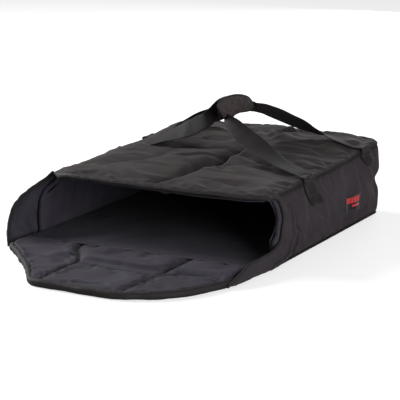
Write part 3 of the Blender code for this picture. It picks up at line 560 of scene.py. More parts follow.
def runningCurve(tree, given, spacing):
    curve = addNode(tree, "GeometryNodeMeshToCurve", Mesh=given["Geometry"]).outputs["Curve"]
    return addNode(tree, "GeometryNodeResampleCurve", mode="LENGTH", Curve=curve,
                   Length=given[spacing]).outputs["Curve"]


def stitchTree():
    # beads of thread along a path
    tree, given = startTree("stitchRow", {"Pitch": 0.0035, "Length": 0.0026, "Radius": 0.0004})
    bead = addNode(tree, "GeometryNodeMeshUVSphere", Segments=6, Rings=4, Radius=1.0)
    size = addNode(tree, "ShaderNodeCombineXYZ", X=mathNode(tree, "MULTIPLY", given["Length"], 0.5),
                   Y=given["Radius"], Z=given["Radius"])
    tangent = addNode(tree, "GeometryNodeInputTangent").outputs[0]
    turn = addNode(tree, "FunctionNodeAlignRotationToVector", axis="X", Vector=tangent)
    beads = addNode(tree, "GeometryNodeInstanceOnPoints", Points=runningCurve(tree, given, "Pitch"),
                    Instance=bead.outputs["Mesh"], Rotation=turn.outputs[0], Scale=size.outputs[0])
    return endTree(tree, beads.outputs[0], given)


def pipingTree():
    # round piping along a path, with small uneven puckers
    tree, given = startTree("piping", {"Radius": 0.0017, "Step": 0.002, "Pucker": 0.0004,
                                       "Pucker Scale": 90.0})
    ring = addNode(tree, "GeometryNodeCurvePrimitiveCircle", Resolution=10, Radius=given["Radius"])
    tube = addNode(tree, "GeometryNodeCurveToMesh", Curve=runningCurve(tree, given, "Step"),
                   **{"Profile Curve": ring.outputs["Curve"], "Fill Caps": True})
    noise = addNode(tree, "ShaderNodeTexNoise", Detail=2.0, Scale=given["Pucker Scale"]).outputs["Fac"]
    height = mathNode(tree, "MULTIPLY", mathNode(tree, "SUBTRACT", noise, 0.5), given["Pucker"])
    normal = addNode(tree, "GeometryNodeInputNormal").outputs[0]
    push = addNode(tree, "ShaderNodeVectorMath", [normal], operation="SCALE", Scale=height)
    moved = addNode(tree, "GeometryNodeSetPosition", Geometry=tube.outputs[0], Offset=push.outputs[0])
    return endTree(tree, moved.outputs[0], given)


stitchRow = stitchTree()
piping = pipingTree()
stitchLook = {"Pitch": 0.0036, "Length": 0.0028, "Radius": 0.00045}


def pathPiece(name, tree, paths, sizes, material):
    # runs a node tree along one or more rows of points and keeps the plain mesh
    points, edges = [], []
    for path in paths:
        edges += [(len(points) + k, len(points) + k + 1) for k in range(len(path) - 1)]
        points += path.tolist()
    mesh = bpy.data.meshes.new(name + "Path")
    mesh.from_pydata(points, edges, [])
    carrier = newObject(name + "Path", mesh)
    modifier = carrier.modifiers.new("nodes", "NODES")
    modifier.node_group = tree
    wanted = {**sizes, "Finish": material}
    for item in tree.interface.items_tree:
        if item.item_type == "SOCKET" and item.in_out == "INPUT" and item.name in wanted:
            modifier[item.identifier] = wanted[item.name]
    seen = carrier.evaluated_get(bpy.context.evaluated_depsgraph_get())
    shaped = bpy.data.meshes.new_from_object(seen)
    carrier.modifiers.remove(modifier)
    bpy.data.objects.remove(carrier)
    shaped.name = name
    return newObject(name, shaped)


def sewRow(name, paths, slotName, moves, **sizes):
    # a row of stitches along each path
    dress(pathPiece(name, stitchRow, paths, {**stitchLook, **sizes}, thread), slotName, moves)


# Top panel
topLook = {
    "columns": 178, "rows": 190, "cornerRows": 16, "thickness": 1.6 * mm, "edgeRound": 5 * mm,
    "behindHem": 5 * mm, "foldGain": 1.4, "slack": 1.6 * mm, "waves": 1.1 * mm, "creases": 1.3 * mm,
    "seamPucker": 0.7 * mm, "seamCalm": 22 * mm, "mouthCalm": 18 * mm, "gatherReach": 16 * mm,
    "tipRoom": 127.7 * mm, "rearRoom": 160 * mm, "soften": 0.6 * mm, "heldEdge": 2 * mm, "heldFade": 8 * mm,
    "seamShade": 4 * mm, "hemShade": 2.6 * mm, "ridgeShade": 9.0,
}
topSettle = {"pressure": 0.15, "spare": 0.02, "limit": 4 * mm, "bending": 1.0, "coarse": 0.25, "frames": 20}
topFolds = [
    ([(-88, 339), (-61, 362), (-3, 323)], 3.4, 12, 9),
    ([(-70, 300), (-30, 296), (4, 280)], -2.8, 12, 12),
    ([(46, 340), (44, 389), (68, 433)], 4.0, 6, 10),
    ([(60, 322), (67, 375), (82, 410)], 3.2, 5, 8),
    ([(77, 296), (113, 336), (137, 372)], 3.4, 6, 11),
    ([(62, 345), (56, 392), (74, 425)], -2.6, 5, 5),
    ([(52, 107), (75, 128), (116, 141), (147, 174)], 2.4, 5, 8),
    ([(56, 116), (80, 138), (118, 152)], -1.6, 4, 7),
    ([(50, 218), (75, 239), (122, 192)], 3.0, 6, 10),
    ([(100, 180), (124, 175), (146, 178)], -3.0, 7, 7),
    ([(-47, 147), (-9, 175), (27, 191)], -2.2, 5, 8),
    ([(-52, 156), (-14, 184), (22, 200)], 1.8, 5, 6),
    ([(-120, 60), (-60, 95), (-10, 84)], 2.2, 10, 16),
    ([(-180, 30), (-130, 60), (-80, 130), (-60, 210)], -2.8, 12, 16),
    ([(-150, 150), (-100, 190), (-40, 200)], 1.8, 7, 10),
    ([(90, 30), (130, 55), (190, 60)], 1.9, 8, 12),
    ([(60, 20), (110, 28), (160, 16)], -1.6, 7, 8),
    ([(150, 300), (170, 350), (210, 390)], 2.6, 8, 12),
    ([(-160, 330), (-120, 300), (-80, 250)], 2.4, 9, 14),
    ([(-40, 400), (10, 380), (40, 330)], 2.4, 7, 9),
]
# the long ridge: the cloth falls away slowly on its left and rises sharply to it
ridgePath = [(26, -40), (37, -6), (44, 27), (46, 65), (47, 98), (51, 130), (55, 155), (60, 204), (58, 250),
             (50, 300)]
ridgeProfile = [(-90, 0), (-60, 0.5), (-30, 2.0), (-12, 3.8), (-3.5, 4.8), (-1.5, 3.9), (0.5, -4.0),
                (2.5, -12.0), (6, -16.0), (12, -14.8), (24, -7.8), (36, -2.4), (46, -0.2), (56, 0.4), (75, 0)]


def ridgeField(x, y):
    # distance to the ridge, and how much of it there is along its length
    away, share = pathField(x, y, ridgePath)
    return away, fadeEnds(share, 0.12, 0.3)


def topPlan(look, inset):
    # x and y of the top's grid: its mouth edge is curved, its rear corners are round
    straightRows = look["rows"] - look["cornerRows"]
    radius = bag["cornerRadius"] - inset
    bend = np.linspace(0, math.pi / 2, look["cornerRows"] + 1)
    y = np.concatenate([np.linspace(mouthY, cornerY, straightRows)[:-1], cornerY + radius * np.sin(bend)])
    reach = np.clip((y - cornerY) / radius, 0, 1)
    right = cornerX + radius * np.sqrt(1 - reach ** 2)
    left = right - bag["leftLean"] * np.sqrt(1 - reach ** 2)
    share = np.linspace(0, 1, look["columns"])[None, :]
    x = mix(-left[:, None], right[:, None], share)
    y = y[:, None] + np.zeros_like(x)
    shift = topEdgeY(x) + look["behindHem"] - mouthY
    return x, y + shift * (1 - behindShare(y)) ** 3

def topField(x, y):
    # how far the slack cloth stands off the plain top surface
    look = topLook
    flatX, flatY = x / mm, (y - mouthY) / mm
    inset, behindEdge = planInset(x, y), y - topEdgeY(x)
    ridgeAway, ridgeEnds = ridgeField(flatX, flatY)
    ridge = np.interp(ridgeAway, *np.array(ridgeProfile, float).T) * ridgeEnds
    field = (look["foldGain"] * foldHeight(flatX, flatY, topFolds) + ridge) * mm
    loose = ripples(flatX, flatY, 4, (90, 190), 7)
    waves = ripples(flatX, flatY, 7, (38, 80), 9, 1.0, 0.8)
    crease = np.clip(1 - 2 * np.abs(ripples(flatX, flatY, 9, (46, 110), 7, 1.2, 0.9)), -1, 1)
    patches = smoothShare(ripples(flatX, flatY, 12, (120, 240), 5) * 0.6 + 0.3)
    field = field + look["slack"] * loose + look["waves"] * waves + look["creases"] * crease * patches
    calm = smoothShare(inset / look["seamCalm"]) * smoothShare(behindEdge / look["mouthCalm"])
    gather = ripples(flatX, flatY, 15, (13, 24), 6) * look["seamPucker"]
    near = bell(inset / look["gatherReach"]) + bell(behindEdge / look["mouthCalm"])
    return field * calm + gather * np.clip(near, 0, 1) * smoothShare(inset / (4 * mm))


topX, topY = topPlan(topLook, 0.0)
topInset = planInset(topX, topY)
topZ = topHeight(topX, topY) + topField(topX, topY) - roundDrop(topInset, topLook["edgeRound"])
topFree = smoothShare((topInset - topLook["heldEdge"]) / topLook["heldFade"])
mouthFree = smoothShare((topY - topEdgeY(topX)) / topLook["heldFade"] - 1)
topHeld = 1 - np.minimum(topFree, mouthFree)
topGrid = settleCloth(gridOf(topX, topY, topZ), topHeld, topSettle)
topX, topY, topZ = np.moveaxis(topGrid, 2, 0)
# room over the front of the top for the tip of the flap, which folds down on it
topBehind = (topY - mouthY) / mm
tipRoom = mix(topLook["tipRoom"], topLook["rearRoom"], smoothShare((topBehind - 72) / 34) ** 3)
topGrid[:, :, 2] = softLimit(topZ, tipRoom, topLook["soften"])
topPanel = clothPiece("topCloth", topGrid, topLook["thickness"], outerCloth)
hemAway = topY - topEdgeY(topX) - topLook["behindHem"]
ridgeAway, ridgeEnds = ridgeField(topX / mm, topBehind)
# painted shade: darker along the welt seam and just behind the hem, and a dark band painted in the ridge's
# trough
topShade = bell(topInset / topLook["seamShade"])
topShade = topShade + bell((hemAway - topLook["seamShade"]) / topLook["hemShade"])
ridgeShade = 0.5 * bell(ridgeAway / topLook["ridgeShade"] - 1, 4) * ridgeEnds
markPoints(topPanel, "seamShade", np.maximum(topShade, ridgeShade))
dress(topPanel, "outer_nylon", "shell", "top_outer", "top_pad")

underLook = {"columns": 60, "rows": 70, "cornerRows": 10, "thickness": 1.0 * mm, "behindHem": 5 * mm,
             "under": 8.8 * mm, "room": 4.5 * mm}
underX, underY = topPlan(underLook, bag["wallStack"])
underPlain = topHeight(underX, underY)
underSag = (1.2 + 1.1 * ripples(underX / mm, underY / mm, 21, (60, 140), 7)) * mm
underZ = underPlain - underLook["under"] - underSag * smoothShare(planInset(underX, underY) / (40 * mm))
underZ = np.minimum(underZ, underPlain + topField(underX, underY) - underLook["room"])
ceiling = clothPiece("topLiningCloth", gridOf(underX, underY, underZ), underLook["thickness"], liningCloth)
dress(ceiling, "lining_nylon", "shell", "top_lining")
print("top panel made")

# Rolled hem along the top's mouth edge
hemLook = {"width": 10.5 * mm, "proud": 1.3 * mm, "tall": 8.6 * mm, "steps": 230, "sides": 22,
           "pucker": 0.2 * mm, "overlap": 10 * mm, "threadLift": 0.3 * mm}
hemX = np.linspace(-half + bag["leftLean"] + 1 * mm, half - 0.5 * mm, hemLook["steps"])[:, None]
hemShape = throughPoints([(-0.02, 0.0), (0.3, 0.02), (0.62, 0.0), (0.86, -0.1), (0.99, -0.3), (1.02, -0.52),
                          (0.98, -0.78), (0.84, -0.95), (0.6, -1.0), (0.3, -0.98), (-0.02, -1.0)],
                         hemLook["sides"])
hemWave = ripples(hemX / mm, 0, 31, (9, 19), 6) * hemLook["pucker"]
hemSwell = ripples(hemX / mm, 0, 33, (40, 90), 4) * mm
hemEdge = topEdgeY(hemX)
hemOut = hemShape[:, 0] * hemLook["width"] + (hemWave + hemSwell * 0.5) * (hemShape[:, 0] > 0.7)
hemUp = hemShape[:, 1] * (hemLook["tall"] + hemSwell * 0.7) + hemWave * 0.5
hemTop = topHeight(hemX, hemEdge + 4 * mm) + hemLook["proud"]
hemRings = gridOf(hemX, hemEdge + hemLook["overlap"] - hemOut, hemTop + hemUp)
dress(sweepPiece("topHem", hemRings, trimCloth), "binding", "shell", "top_front_hem")
hemRows = [hemRings[2:-2, ring] + np.array(way) * hemLook["threadLift"]
           for ring, way in ((2, (0, 0, 1)), (10, (0, -1, 0)))]
sewRow("hemStitches", hemRows, "binding", "shell")
print("hem made")

# Side and rear walls
wallLook = {
    "rows": 54, "thickness": 1.6 * mm, "round": 4.5 * mm, "low": 1.5 * mm, "underTop": 3.0 * mm,
    "mouthNotch": 22 * mm, "leftSetback": 38 * mm, "bulge": 3.4 * mm, "foldGain": 1.45,
    "mouthReach": 70 * mm, "seamGap": 0.3 * mm, "sideSteps": 188, "rearSteps": 100,
}
rightMouth = [(0.0, 0.0), (0.36, 0.0), (0.44, 0.62), (0.55, 0.86), (0.64, 1.0), (0.72, 0.95), (0.82, 0.7),
              (0.92, 0.3), (1.0, 0.0)]
leftMouth = [(0.0, 0.0), (0.625, 0.0), (0.75, 0.3), (0.875, 1.0), (1.0, 1.3)]
sideFolds = [
    ([(371, 112), (384, 97), (398, 84), (420, 72), (444, 62)], -3.2, 9, 16),
    ([(366, 100), (392, 76), (425, 66)], 2.2, 10, 12),
    ([(140, 76), (160, 68), (176, 56), (182, 40), (184, 22)], -2.6, 12, 8),
    ([(150, 60), (168, 50), (174, 32)], 1.8, 9, 9),
    ([(240, 112), (252, 80), (250, 30)], -1.3, 14, 18),
    ([(300, 114), (296, 90), (306, 70)], -1.2, 10, 12),
    ([(345, 100), (356, 60), (350, 14)], 1.6, 12, 14),
    ([(80, 112), (96, 84), (100, 40)], 1.3, 12, 14),
]


def mouthSetback(side, share):
    table, depth = (rightMouth, wallLook["mouthNotch"]) if side > 0 else (leftMouth, wallLook["leftSetback"])
    shares, values = zip(*table)
    return np.interp(share, shares, values) * depth


def wallSwell(share, y):
    # one soft bulge in front, two with a pinch between them towards the rear
    single = np.sin(math.pi * share)
    double = np.sqrt(np.clip(single, 0, 1)) * (1 - 0.85 * np.exp(-((share - 0.47) / 0.1) ** 2)) * 1.25
    rear = smoothShare((y - 0.10) / 0.10)
    return wallLook["bulge"] * mix(single, double, rear)


def wallGrid(s, side, limits, field, roundness=0.0):
    # rows run along the plan, columns from the floor to the top; side is 1 right, -1 left
    inset, low, underTop = limits
    share = np.linspace(0, 1, wallLook["rows"])[None, :] + 0 * s[:, None]
    x, y, nx, ny = (value[:, None] + 0 * share for value in planRun(s))
    x, nx = x * side, nx * side
    if s[0] < wallLook["seamGap"]:
        y = y + mouthSetback(side, share) * (1 - smoothShare((s[:, None] - s[0]) / wallLook["mouthReach"]))
    tall = edgeHeight(y)
    out = wallSwell(share, y) - inset + field(x, y, share)
    out = out - roundDrop(share * tall, roundness) - roundDrop((1 - share) * tall, roundness)
    x = x + nx * out + bag["leftLean"] * np.clip(-nx, 0, 1) * share ** 2
    y = y + ny * out
    return gridOf(x, y, mix(low, topHeight(x, y) - underTop, share))


def sideField(side):
    def field(x, y, share):
        along, up = (y - mouthY) / mm, share * edgeHeight(y) / mm
        folds = wallLook["foldGain"] * foldHeight(along, up, sideFolds) if side > 0 else 0.0
        drape = ripples(along, up * 0.35, 40 + side, (38, 90), 7, 0.0, 0.5) * 1.5
        small = ripples(along, up, 44 + side, (18, 38), 6, 0.2, 0.9) * 0.4
        return (folds + drape + small) * fadeEnds(share, 0.16, 0.12) * mm
    return field


def rearField(x, y, share):
    across, up = x / mm, share * edgeHeight(y) / mm
    drape = ripples(across, up * 0.5, 51, (40, 100), 7, 0.0, 0.6) * 1.1
    small = ripples(across, up, 53, (18, 40), 6, 0.2, 0.9) * 0.3
    return (drape + small) * fadeEnds(share, 0.16, 0.12) * mm


seamRun = straightRun + cornerRun / 2
sideRun = np.linspace(0, seamRun - wallLook["seamGap"], wallLook["sideSteps"])
halfRear = np.linspace(seamRun + wallLook["seamGap"], wholeRun, wallLook["rearSteps"])


def rearGrid(*given):
    right, left = (wallGrid(halfRear, side, *given) for side in (1, -1))
    return np.concatenate([right, left[-2::-1]], 0)


def wallHeld(grid):
    share = np.linspace(0, 1, grid.shape[1])[None, :] + 0 * grid[:, :, 0]
    ends = np.minimum(share, 1 - share) * 120
    along = np.arange(grid.shape[0])[:, None] + 0 * ends
    ends = np.minimum(ends, np.minimum(along, along[::-1]) * 2.4)
    return 1 - smoothShare((ends - 2) / 8)


wallLimits = (0.0, wallLook["low"], wallLook["underTop"])
wallSettle = {"pressure": 0.2, "spare": 0.02, "limit": 3.5 * mm, "bending": 0.4, "coarse": 0.3, "frames": 20}
wallSides = {"right": 1, "left": -1}
liningFlats = {"right": (0.430, 0.108), "left": (0.430, 0.096), "rear": (0.423, 0.112)}
wallGrids = {name: wallGrid(sideRun, side, wallLimits, sideField(side), wallLook["round"])
             for name, side in wallSides.items()}
wallGrids["rear"] = rearGrid(wallLimits, rearField, wallLook["round"])
wallShades = {}
for name, grid in wallGrids.items():
    side = wallSides.get(name, 1)
    grid = wallGrids[name] = settleCloth(grid, wallHeld(grid), wallSettle, side)
    wall = clothPiece(f"{name}Cloth", grid, wallLook["thickness"], sideCloth, side)
    dress(wall, "outer_nylon", "shell", f"{name}_outer", f"{name}_pad")
    # painted shade near the floor seam and, wider, under the top seam
    up = np.linspace(0, 1, wallLook["rows"])[None, :] + 0 * grid[:, :, 0]
    wallShades[name] = (wall, bell(up / 0.025) + bell((1 - up) / 0.048))
    markPoints(wall, "seamShade", wallShades[name][1])

liningLook = {"inset": 8.6 * mm, "thickness": 1.2 * mm, "low": 11.0 * mm, "underTop": 10.6 * mm}


def liningField(x, y, share):
    folds = ripples((np.abs(x) + y) / mm, share * 110, 61, (34, 90), 8, 1.0, 1.2)
    return -(1.2 + 1.5 * folds) * fadeEnds(share, 0.2) * mm


liningLimits = (liningLook["inset"], liningLook["low"], liningLook["underTop"])
for name, flat in liningFlats.items():
    side = wallSides.get(name, 1)
    if name in wallSides:
        grid = wallGrid(sideRun[::2], side, liningLimits, liningField)
    else:
        grid = rearGrid(liningLimits, liningField)[::2]
    lining = clothPiece(f"{name}LiningCloth", grid, liningLook["thickness"], liningCloth, side)
    dress(lining, "lining_nylon", "shell", f"{name}_lining")
print("walls made")

# The walls' mouth edges, rolled over the foam
rollLook = {"steps": 60, "sides": 18, "wide": 5.0 * mm, "deep": 4.2 * mm, "inward": 4.9 * mm,
            "behind": 1.0 * mm, "lowest": 7 * mm, "pucker": 0.4 * mm}
xWay, zWay = np.array([1.0, 0, 0]), np.array([0, 0, 1.0])
for name, side in wallSides.items():
    shares = np.linspace(0, 1, rollLook["steps"])
    edge = [np.interp(shares, np.linspace(0, 1, len(column)), column) for column in wallGrids[name][0].T]
    centre = np.stack(edge, 1) - np.array([side * rollLook["inward"], -rollLook["behind"], 0])
    centre[:, 2] = np.clip(centre[:, 2], rollLook["lowest"], None)
    wave = ripples(shares * 120, 0, 70 + side, (12, 26), 5) * rollLook["pucker"]
    rings = ovalRings(centre, xWay, rollLook["wide"] + wave * 0.5, acrossPath(centre, xWay),
                      rollLook["deep"] + wave, rollLook["sides"])
    dress(sweepPiece(f"{name}MouthRoll", rings, liningCloth), "lining_nylon", "shell")

# Base
baseLook = {"columns": 90, "rows": 110, "cornerRows": 10, "skin": 1.5 * mm, "front": 30 * mm,
            "liningFront": 36 * mm, "liningLow": 4 * mm, "frontNotch": 7 * mm}


def basePlan(inset, front):
    look = baseLook
    radius = bag["cornerRadius"] - inset
    bend = np.linspace(0, math.pi / 2, look["cornerRows"] + 1)
    straight = np.linspace(mouthY - front, cornerY, look["rows"] - look["cornerRows"])
    y = np.concatenate([straight[:-1], cornerY + radius * np.sin(bend)])
    reach = np.clip((y - cornerY) / radius, 0, 1)
    width = cornerX + radius * np.sqrt(1 - reach ** 2)
    notch = look["frontNotch"] * (1 - smoothShare((y - mouthY + 2 * mm) / (4 * mm))) * (inset < 1 * mm)
    share = np.linspace(-1, 1, look["columns"])[None, :]
    return (width - notch)[:, None] * share, y[:, None] + 0 * share


flatten = np.array([1, 1, 0])
base = gridOf(*basePlan(0.0, baseLook["front"]), baseLook["skin"])
baseSkin = slabPiece("baseCloth", base, base * flatten, sideCloth)
dress(baseSkin, "outer_nylon", "shell", "base_outer", "base_pad")

insideX, insideY = basePlan(bag["wallStack"] - 1.5 * mm, baseLook["liningFront"])
puckers = (0.9 * ripples(insideX / mm, insideY / mm, 81, (50, 130), 8)
           + 0.25 * ripples(insideX / mm, insideY / mm, 83, (18, 40), 8)) * mm
inside = gridOf(insideX, insideY, bag["floorTop"] + puckers)
underside = inside * flatten + zWay * baseLook["liningLow"]
floorLining = slabPiece("floorLiningCloth", inside, underside, liningCloth)
dress(floorLining, "lining_nylon", "shell", "base_lining")
print("base made")

# Flap: one quilted pad across its cross seam, where the real flap folds
flapLook = {
    "columns": 190, "rows": 118, "rearRow": -40.8, "frontRow": -258, "puff": 15.5 * mm, "tipPuff": 12.6 * mm,
    "seam": 7.8 * mm, "puffReach": 8.0, "low": 1.1 * mm, "inset": 4.5, "edgeRound": 7 * mm,
    "room": 19.5, "tipRoom": 13.4, "hemRoom": 49.3, "soften": 0.7 * mm,
    "threadLift": 0.4 * mm,
}
flapSettle = {"pressure": 0.7, "spare": 0.02, "limit": 3 * mm, "bending": 2.0, "coarse": 0.22, "frames": 20}
flapLeft = [(-216, -40), (-216, -97), (-207, -110), (-196, -121), (-179, -136), (-159, -158), (-130, -188),
            (-114, -207), (-89, -240), (-76, -258)]
flapRight = [(217, -40), (217, -96), (214, -128), (206, -150), (192, -186), (169, -223), (144, -245),
             (122, -258)]
flapFront = [(-76, -258), (-66, -266), (-50, -269), (-25, -271), (8, -272), (40, -273), (72, -273),
             (94, -270), (110, -265), (122, -258)]
quiltSeams = [
    [(-53, -268), (-56, -236), (-57, -204), (-57, -171), (-54, -147), (-69, -118), (-83, -96), (-97, -76),
     (-106, -46)],
    [(93, -270), (91, -246), (92, -215), (96, -180), (97, -157), (100, -130), (99, -90), (99, -46)],
    [(-54, -147), (-10, -150), (48, -155), (97, -157)],
    [(97, -157), (115, -147), (129, -140), (160, -133), (185, -131), (211, -140)],
]
quiltCreases = [
    ([(-50, -262), (-15, -258), (19, -243), (43, -232), (66, -250), (84, -268)], -2.8, 3, 7),
    ([(-46, -248), (-10, -244), (16, -232)], 1.4, 6, 6),
    ([(-72, -108), (-37, -121), (24, -131), (60, -137), (90, -138)], 5.4, 9, 11),
    ([(-76, -92), (-37, -100), (24, -108), (88, -110)], -2.8, 8, 9),
    ([(102, -132), (129, -122), (154, -117), (180, -116), (207, -124)], 4.6, 8, 9),
    ([(101, -110), (129, -102), (160, -98), (195, -98)], -2.4, 7, 8),
    ([(102, -228), (125, -190), (160, -160), (192, -152)], 2.2, 16, 16),
    ([(86, -150), (98, -142), (108, -137)], -3.0, 4, 4),
    ([(-190, -70), (-150, -96), (-100, -108)], -1.6, 12, 14),
    ([(-150, -166), (-118, -194), (-84, -236)], -1.8, 7, 10),
    ([(-120, -126), (-96, -160), (-78, -206)], 1.8, 12, 14),
    ([(-30, -196), (20, -190), (70, -200)], 1.2, 18, 18),
]


def flapPlan():
    # rows run back to front, columns left to right, in millimetres
    look = flapLook
    left, right = throughPoints(flapLeft, 80), throughPoints(flapRight, 80)
    front = throughPoints(flapFront, look["columns"])
    v = np.linspace(0, 1, look["rows"])[:, None]
    y = mix(look["rearRow"], look["frontRow"], v)
    leftX = np.interp(-y, -left[:, 1], left[:, 0]) + look["inset"]
    rightX = np.interp(-y, -right[:, 1], right[:, 0]) - look["inset"]
    share = (front[:, 0] - front[0, 0]) / (front[-1, 0] - front[0, 0])
    bow = front[:, 1] - look["frontRow"] + look["inset"] * np.sin(math.pi * share) ** 0.4
    return mix(leftX, rightX, share), y + bow * v ** 5


flapX, flapY = flapPlan()
outline = np.concatenate([throughPoints(flapLeft, 90)[:-1], throughPoints(flapFront, 80),
                          throughPoints(flapRight, 90)[::-1][1:]])
outline = throughPoints(outline[::6], 420)
fromEdge = edgeDistance(flapX, flapY, outline[::2]) - flapLook["inset"]
fromSeam = np.min([np.abs(pathField(flapX, flapY, seam)[0]) for seam in quiltSeams], axis=0)
rise = 1 - np.exp(-fromSeam / flapLook["puffReach"])
tipShare = smoothShare((-146 - flapY) / 10)
flapZ = mix(flapLook["seam"], mix(flapLook["puff"], flapLook["tipPuff"], tipShare), rise)
loose = foldHeight(flapX, flapY, quiltCreases) + 0.7 * ripples(flapX, flapY, 91, (44, 110), 8)
loose = loose + 0.15 * ripples(flapX, flapY, 93, (16, 34), 8)
gather = ripples(flapX, flapY, 95, (9, 17), 7) * 0.6 * bell(fromSeam / 12)
flapZ = flapZ + (loose * smoothShare(fromSeam / 7) + gather * smoothShare(fromSeam / 3)) * mm
rearCalm = smoothShare((flapLook["rearRow"] - flapY) / 22)
flapZ = mix(bag["floorTop"], flapZ, rearCalm)
edgeFall = roundDrop(fromEdge * mm, flapLook["edgeRound"]) * smoothShare((-flapY - 44) / 10)
flapZ = flapZ - edgeFall * (flapZ / flapLook["puff"])
flapTop = place(gridOf(flapX, flapY, flapZ / mm))
flapHeld = np.maximum(1 - smoothShare((fromSeam - 1.5) / 4), 1 - smoothShare((fromEdge - 1) / 4))
flapTop = settleCloth(flapTop, np.maximum(flapHeld, 1 - rearCalm), flapSettle)
# room for the hem and the top, which this side meets when the flap is shut
hemRoom = flapLook["hemRoom"] + (topEdgeY(flapX * mm) - mouthY) / mm
room = mix(flapLook["room"], flapLook["tipRoom"], tipShare)
atHem = smoothShare((-131 - flapY) / 6) * smoothShare((flapY + 163) / 6)
room = np.minimum(room, mix(room, hemRoom, atHem)) * mm
flapTop[:, :, 2] = softLimit(flapTop[:, :, 2], room, flapLook["soften"])
flapTop[:, :, 2] = np.maximum(flapTop[:, :, 2], flapLook["low"] + 2 * mm)
flapLow = place(gridOf(flapX, flapY, flapLook["low"] / mm))
flapPad = slabPiece("flapPad", flapTop, flapLow, [liningCloth, sideCloth], 1)
# painted shade along the quilting seams and along the pad's edge
markPoints(flapPad, "seamShade", bell(fromSeam / 2.2) + bell(fromEdge / 3.0))
tipFold = ("flap", "flap_tip", (0, mouthY - 152 * mm, bag["floorTop"]),
           (0, mouthY - 168 * mm, bag["floorTop"]))
dress(flapPad, "lining_nylon", tipFold, "flap_outer", "flap_pad", "flap_lining", "flap_tip_outer",
      "flap_tip_pad", "flap_tip_lining")

bandLook = {"sides": 16, "wide": 4.9, "tall": 6.1, "centre": 6.3, "pucker": 0.25, "leftPucker": 0.8,
            "inward": 3.6, "lowest": 0.4, "threadLift": 0.35 * mm}
bandPath = np.column_stack([outline, np.full(len(outline), bandLook["centre"])])
bandPath = bandPath[(bandPath[:, 1] < -41) & ~((bandPath[:, 0] < -150) & (bandPath[:, 1] > -84))]
across = acrossPath(bandPath, zWay)
runAt = lengthAlong(bandPath)
leftShare = smoothShare((-80 - bandPath[:, 0]) / 40)
puckers = ripples(runAt, 0, 101, (12, 26), 7) * (bandLook["pucker"] + bandLook["leftPucker"] * leftShare)
lumps = ripples(runAt, 0, 103, (38, 90), 5) * 0.9
fromEnd = np.minimum(np.arange(len(bandPath)), np.arange(len(bandPath))[::-1])
taper = np.minimum(1.0, 0.45 + fromEnd / 12)
bandRings = ovalRings(bandPath - across * bandLook["inward"], across,
                      (bandLook["wide"] + puckers + lumps * 0.5) * taper, zWay,
                      (bandLook["tall"] + puckers * 0.6 + lumps * 0.6) * taper, bandLook["sides"])
bandRings[:, :, 2] = np.clip(bandRings[:, :, 2], bandLook["lowest"], None)
flapBand = sweepPiece("flapBand", place(bandRings), trimCloth)
dress(flapBand, "binding", tipFold, "flap_left_binding", "flap_right_binding", "tip_binding")


def onCloth(grid, path, lift):
    # lays points (x, y) on a cloth grid, raised by lift
    cloth = grid.reshape(-1, 3)
    spots = []
    for x, y in path:
        near = np.argsort((cloth[:, 0] - x) ** 2 + (cloth[:, 1] - y) ** 2)[:4]
        spots.append((x, y, cloth[near, 2].mean() + lift))
    return np.array(spots)


quiltRows = [place(np.column_stack([throughPoints(seam, 90), np.zeros(90)]))[:, :2] for seam in quiltSeams]
quiltRows = [onCloth(flapTop, row, flapLook["threadLift"]) for row in quiltRows]
sewRow("quiltStitches", quiltRows, "lining_nylon", tipFold)
sewRow("bandStitches", [place(bandRings[3:-3, 5]) + zWay * bandLook["threadLift"]], "binding", tipFold)

# strips across the sill, where the real ones bend between the shell and the flap
stripX, stripY = np.meshgrid(np.linspace(-213, 213, 120), np.linspace(-27, -55, 34))
stripZ = bag["floorTop"] / mm + 1.3 + 0.35 * ripples(stripX, stripY, 111, (12, 30), 6)
sillTop = place(gridOf(stripX, stripY, stripZ - 1.5 * bell((stripY + 40.5) / 3)))
sillLining = clothPiece("sillLining", sillTop[:, ::-1], 1.0 * mm, liningCloth)
sillLow = place(gridOf(stripX, stripY, 1.0))
sillOuter = slabPiece("sillOuter", sillLow, sillLow * flatten, sideCloth)
sillFold = ("shell", "flap", (0, mouthY - 37 * mm, bag["floorTop"]), (0, mouthY - 45 * mm, bag["floorTop"]))
for strip, finish in ((sillLining, "lining_nylon"), (sillOuter, "outer_nylon")):
    dress(strip, finish, sillFold)
print("flap made")

# Left gusset: a wing of cloth from the left wall's mouth edge to the flap
wingLook = {"rows": 70, "columns": 46, "thickness": 2.4 * mm, "bow": 6.0, "stand": 2.6,
            "threadLift": 0.4 * mm}
wingTrim = {"Radius": 0.0032, "Step": 0.0016, "Pucker": 0.0026, "Pucker Scale": 120.0}
wingEdge = [(36, 106), (20, 99), (2, 94), (-30, 85), (-48, 78), (-64, 65), (-66, 54), (-69, 40), (-77, 25),
            (-84, 13), (-88, 2)]
wingRoot = [(54, 102), (50, 98), (44, 92), (31, 85), (18, 78), (9, 71), (5, 63), (5, 50), (5, 38), (5, 26),
            (5, 14), (5, 2)]


def leftWallX(z):
    # outside of the left wall at its mouth edge, in millimetres
    share = np.clip(z * mm / (bag["frontHeight"] - bag["shoulderDrop"]), 0, 1)
    return (-half - wallSwell(share, mouthY) + bag["leftLean"] * share ** 2) / mm


